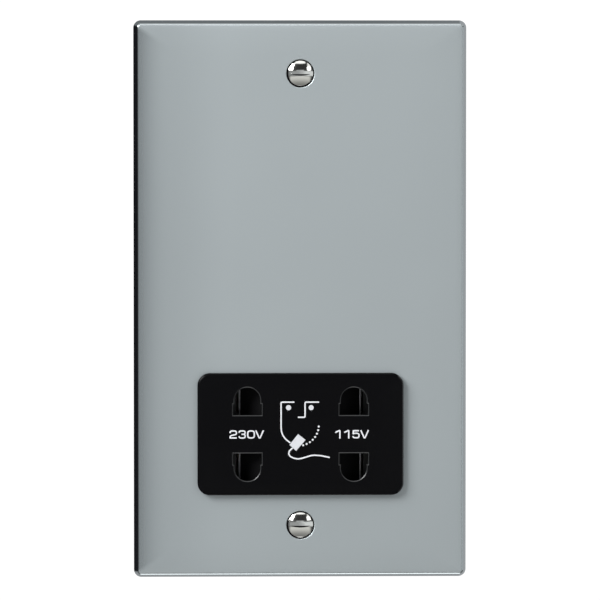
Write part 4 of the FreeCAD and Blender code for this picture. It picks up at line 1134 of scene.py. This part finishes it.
class SOCKET_OT_transformer(bpy.types.Operator):
    """Makes the laminated core, the bobbin, the windings and the thermal cut-out"""

    bl_idname = "socket.transformer"
    bl_label = "Transformer"

    def execute(self, context):
        sizes, colours, _ = settings()
        core = metal("core_steel", colours.core, 0.42, (1.0, 0.2, 1.0), 0.004, 0.25)
        e_low, e_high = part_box("core_e_laminations")
        i_low, i_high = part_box("core_i_laminations")
        leg = (e_high.z - e_low.z) / 6
        inset = leg / 2
        bar = [(i_low.x, i_low.z), (i_high.x, i_low.z), (i_high.x, i_high.z), (i_low.x, i_high.z)]
        sheets = (
            ("core_e_laminations", e_outline(e_low, e_high, leg), (e_low.x + inset, e_low.z + inset)),
            ("core_i_laminations", bar, (i_high.x - inset, i_high.z - inset)),
        )
        count = round((e_high.y - e_low.y) / sizes.lamination)
        tree = stack_tree()
        for node, outline, hole in sheets:
            sheet = lamination(node, outline, hole, e_low.y, sizes.lamination * LAMINATION_SHARE)
            stack = grow(tree, sheet, Count=count, Step=(0.0, sizes.lamination, 0.0), Material=core)
            stack.set_sharp_from_angle(angle=math.radians(30))
            piece(node + "_fine", stack, "core_steel", (node,), core)
        bobbin = plastic("bobbin_nylon", colours.bobbin, 0.4)
        fine_nodes("bobbin_plastic", bobbin, sizes.soft, "coil_bobbin")
        copper = metal("winding_copper", colours.enamel, 0.26, (0.1, 1.0, 1.0), 0.001, 0.1)
        loops = winding_tree()
        wire = sizes.wire / 2
        for node in ("primary_winding", "secondary_winding"):
            low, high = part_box(node)
            count = int((high.x - low.x) / sizes.wire)
            mesh = grow(
                loops,
                merged_node(node),
                Depth=high.y - low.y - 2 * wire,
                Height=high.z - low.z - 2 * wire,
                Corner=WINDING_CORNER,
                Wire=wire,
                Count=count,
                Start=(low.x + wire, (low.y + high.y) / 2, (low.z + high.z) / 2),
                Step=((high.x - low.x - 2 * wire) / (count - 1), 0.0, 0.0),
                Material=copper,
            )
            piece(node + "_fine", mesh, "winding_copper", (node,), copper)
        cutout = plastic("cutout_ceramic", colours.cutout, 0.5)
        fine_nodes("cutout_ceramic", cutout, 2 * sizes.soft, "thermal_cutout")
        return {"FINISHED"}


# Colour and route of each lead in millimetres
LEADS = {
    "lead_line": (
        "brown", (-17.7, 27.25, -45.45), (-17.7, 31.0, -45.45), (-10.9, 33.6, -10.0), (-10.9, 33.6, -3.0),
        (-7.03, 34.9, 6.1), (-7.03, 34.9, 16.95),
    ),
    "lead_switched": (
        "brown", (8.1, 22.55, -32.2), (8.1, 33.6, -32.2), (-5.6, 33.6, -10.0), (-5.6, 33.6, -3.0),
        (-4.23, 34.9, 6.1), (-4.23, 34.9, 16.95),
    ),
    "lead_load": (
        "black", (-8.1, 22.55, -39.5), (-8.1, 24.95, -39.5), (-2.4, 31.0, -10.0), (-2.4, 31.0, 7.55),
    ),
    "lead_neutral": ("blue", (-8.5, 27.25, -45.45), (-8.5, 31.0, -45.45), (-8.5, 31.0, 7.55)),
    "lead_common": (
        "white", (14.2, 22.55, -41.35), (14.2, 24.95, -41.35), (5.6, 31.0, -10.0), (5.6, 31.0, 7.55),
    ),
    "lead_115": (
        "yellow", (14.2, 22.55, -30.35), (14.2, 24.95, -30.35), (8.8, 31.0, -10.0), (8.8, 31.0, 7.55),
    ),
    "lead_230": (
        "red", (-14.2, 22.55, -30.35), (-14.2, 23.65, -30.35), (2.4, 23.65, -24.0), (2.4, 31.0, -10.0),
        (2.4, 31.0, 7.55),
    ),
}


class SOCKET_OT_leads(bpy.types.Operator):
    """Makes the insulated leads and the bare link"""

    bl_idname = "socket.leads"
    bl_label = "Leads"

    def execute(self, context):
        sizes, colours, _ = settings()
        tree = sweep_tree()
        size = {"Width": sizes.lead, "Height": sizes.lead, "Bend": sizes.bend, "Sides": 14}
        finishes = {}
        for node, (tint, *path) in LEADS.items():
            if tint not in finishes:
                finishes[tint] = plastic("lead_" + tint, getattr(colours, tint), 0.35, 0.003)
            mesh = grow(tree, line_mesh([in_metres(path)]), Material=finishes[tint], **size)
            piece(node + "_fine", mesh, "lead_" + tint, (node,), finishes[tint])
        tin = metal("link_tinned", colours.tin, 0.3, (0.1, 1.0, 1.0))
        low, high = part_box("link_common")
        middle = (low + high) / 2
        radius = (high.y - low.y) / 2
        ends = [(x, middle.y, middle.z) for x in (low.x + radius, high.x - radius)]
        link = grow(tree, line_mesh([ends]), Width=radius, Height=radius, Bend=0.0, Sides=14, Material=tin)
        piece("link_common_fine", link, "link_tinned", ("link_common",), tin)
        return {"FINISHED"}


def studio_world():
    """White backdrop for the camera, and for all else a tent of bands that the plate and screws reflect."""
    world = bpy.data.worlds.new("studio")
    world.use_nodes = True
    graph = Graph(world.node_tree)
    mix = graph.mix
    ease = graph.ease
    side, depth, rise = graph.split(graph.add("ShaderNodeTexCoord", output="Object"))
    across = side * side
    level = ease(rise * rise, 0.05, 0.015)
    strip = ease(across, 0.2, 0.1)
    # Above: two light panels beside a dark middle, and a bright strip
    high = mix(ease(across, 0.32, 0.24), 0.9, 0.03)
    high = mix(ease(across, 0.62, 0.72), high, 0.04)
    high = mix(ease(rise, 0.7, 0.76) * strip, high, 1.1)
    # Below: a panel that darkens downwards and to the sides, and a bright strip
    low = mix(ease(rise, -0.25, -0.85), (0.6, 0.6, 0.58), (0.2, 0.2, 0.195))
    low = mix(ease(across, 0.7, 0.4), 0.06, low)
    low = mix(ease(rise, -0.9, -0.96) * strip, low, 2.2)
    # Behind, and at the left a level band that darkens away from the camera
    back = mix(ease(rise, -0.2, 0.2), (0.36, 0.37, 0.38), (0.2, 0.21, 0.215))
    back = mix(ease(side, 0.05, 0.15), back, (0.42, 0.43, 0.44))
    left = mix(ease(depth, -0.95, -0.2), (0.3, 0.31, 0.315), (0.01, 0.01, 0.012))
    # In front: grey, dark at both sides, with a light panel level with the plate at the right
    tent = mix(ease(side, 0.04, 0.1), (0.38, 0.39, 0.4), (0.44, 0.45, 0.46))
    tent = mix(ease(side, -0.22, -0.4), tent, 0.05)
    tent = mix(ease(side, 0.22, 0.4), tent, (0.06, 0.062, 0.064))
    tent = mix(level * ease(side, 0.12, 0.28), tent, (0.64, 0.66, 0.67))
    tent = mix(ease(rise, 0.26, 0.3), tent, high)
    tent = mix(ease(rise, -0.16, -0.26), tent, low)
    tent = mix(ease(depth, 0.2, 0.7), tent, back)
    tent = mix(ease(side, 0.0, -0.045) * level, tent, left)
    camera = graph.add("ShaderNodeLightPath", output="Is Camera Ray")
    glow = graph.add("ShaderNodeBackground", None, {"Color": mix(camera, tent, 1.05), "Strength": 1.0})
    graph.add("ShaderNodeOutputWorld", None, {"Surface": glow})
    return world


# Place and width of each light in metres
LIGHTS = {
    "key": ((-1.6, -1.2, 1.3), 1.3),
    "fill": ((0.82, -0.85, 0.5), 0.35),
    "rear": ((0.25, 0.8, 0.5), 0.5),
}
FLOOR = ((-1.6, -1.6), (1.6, -1.6), (1.6, 0.4), (-1.6, 0.4))


def area_light(name, watts):
    """Square soft light that points at the origin, unseen by the camera itself."""
    place, width = LIGHTS[name]
    data = bpy.data.lights.new(name, "AREA")
    data.energy = watts
    data.size = width
    lamp = add_object(name, data)
    lamp.location = place
    lamp.rotation_euler = (-Vector(place)).to_track_quat("-Z", "Y").to_euler()
    lamp.visible_camera = False
    return lamp


class SOCKET_OT_stage(bpy.types.Operator):
    """Sets up the floor, lights and camera"""

    bl_idname = "socket.stage"
    bl_label = "Stage"

    def execute(self, context):
        _, colours, stage = settings()
        scene = context.scene
        scene.view_settings.view_transform = "Standard"
        scene.world = studio_world()
        work = bmesh.new()
        work.faces.new([work.verts.new((x, y, -stage.floor_drop)) for x, y in FLOOR])
        ground = add_object("floor", close(work, "floor", 40))
        ground.data.materials.append(plastic("floor_paper", colours.floor, 0.7, 0.02, 0.2, 0.5))
        ground.visible_glossy = False
        area_light("key", stage.key)
        area_light("fill", stage.fill)
        area_light("rear", stage.rear).visible_glossy = False
        data = bpy.data.cameras.new("camera")
        data.lens = stage.lens
        data.sensor_width = 36.0
        data.shift_x = PICTURE_SHIFT[0] / PICTURE_WIDTH
        data.shift_y = PICTURE_SHIFT[1] / PICTURE_WIDTH
        data.clip_end = 20.0
        camera = add_object("camera", data)
        level = Vector((-math.sin(stage.turn), -math.cos(stage.turn), 0.0))
        back = level * math.cos(stage.height) + Vector((0.0, 0.0, math.sin(stage.height)))
        camera.location = back * stage.distance
        camera.rotation_euler = (-back).to_track_quat("-Z", "Y").to_euler()
        scene.camera = camera
        return {"FINISHED"}


class SOCKET_PT_panel(bpy.types.Panel):
    """Lists the socket's operators and settings"""

    bl_idname = "SOCKET_PT_panel"
    bl_label = "Shaver Socket"
    bl_space_type = "VIEW_3D"
    bl_region_type = "UI"
    bl_category = "Socket"

    def draw(self, context):
        for operator in OPERATORS:
            self.layout.operator(operator.bl_idname)
        for group in settings():
            box = self.layout.box()
            for name in group.__annotations__:
                box.prop(group, name)


OPERATORS = (
    SOCKET_OT_plate,
    SOCKET_OT_fixings,
    SOCKET_OT_insert,
    SOCKET_OT_markings,
    SOCKET_OT_shutter,
    SOCKET_OT_mouldings,
    SOCKET_OT_contacts,
    SOCKET_OT_transformer,
    SOCKET_OT_leads,
    SOCKET_OT_stage,
)
GROUPS = {
    "socket_sizes": SOCKET_PG_sizes,
    "socket_colours": SOCKET_PG_colours,
    "socket_stage": SOCKET_PG_stage,
}


def register():
    """Adds the classes and the scene's settings."""
    for each in (*GROUPS.values(), *OPERATORS, SOCKET_PT_panel):
        bpy.utils.register_class(each)
    for name, group in GROUPS.items():
        setattr(bpy.types.Scene, name, PointerProperty(type=group))


def unregister():
    """Removes the scene's settings and the classes."""
    for name in GROUPS:
        delattr(bpy.types.Scene, name)
    for each in (SOCKET_PT_panel, *reversed(OPERATORS), *reversed(GROUPS.values())):
        bpy.utils.unregister_class(each)


def main():
    """Makes the whole scene."""
    register()
    bpy.ops.socket.plate()
    bpy.ops.socket.fixings()
    bpy.ops.socket.insert()
    bpy.ops.socket.markings()
    bpy.ops.socket.shutter()
    bpy.ops.socket.mouldings()
    bpy.ops.socket.contacts()
    bpy.ops.socket.transformer()
    bpy.ops.socket.leads()
    bpy.ops.socket.stage()


if __name__ == "__main__":
    main()
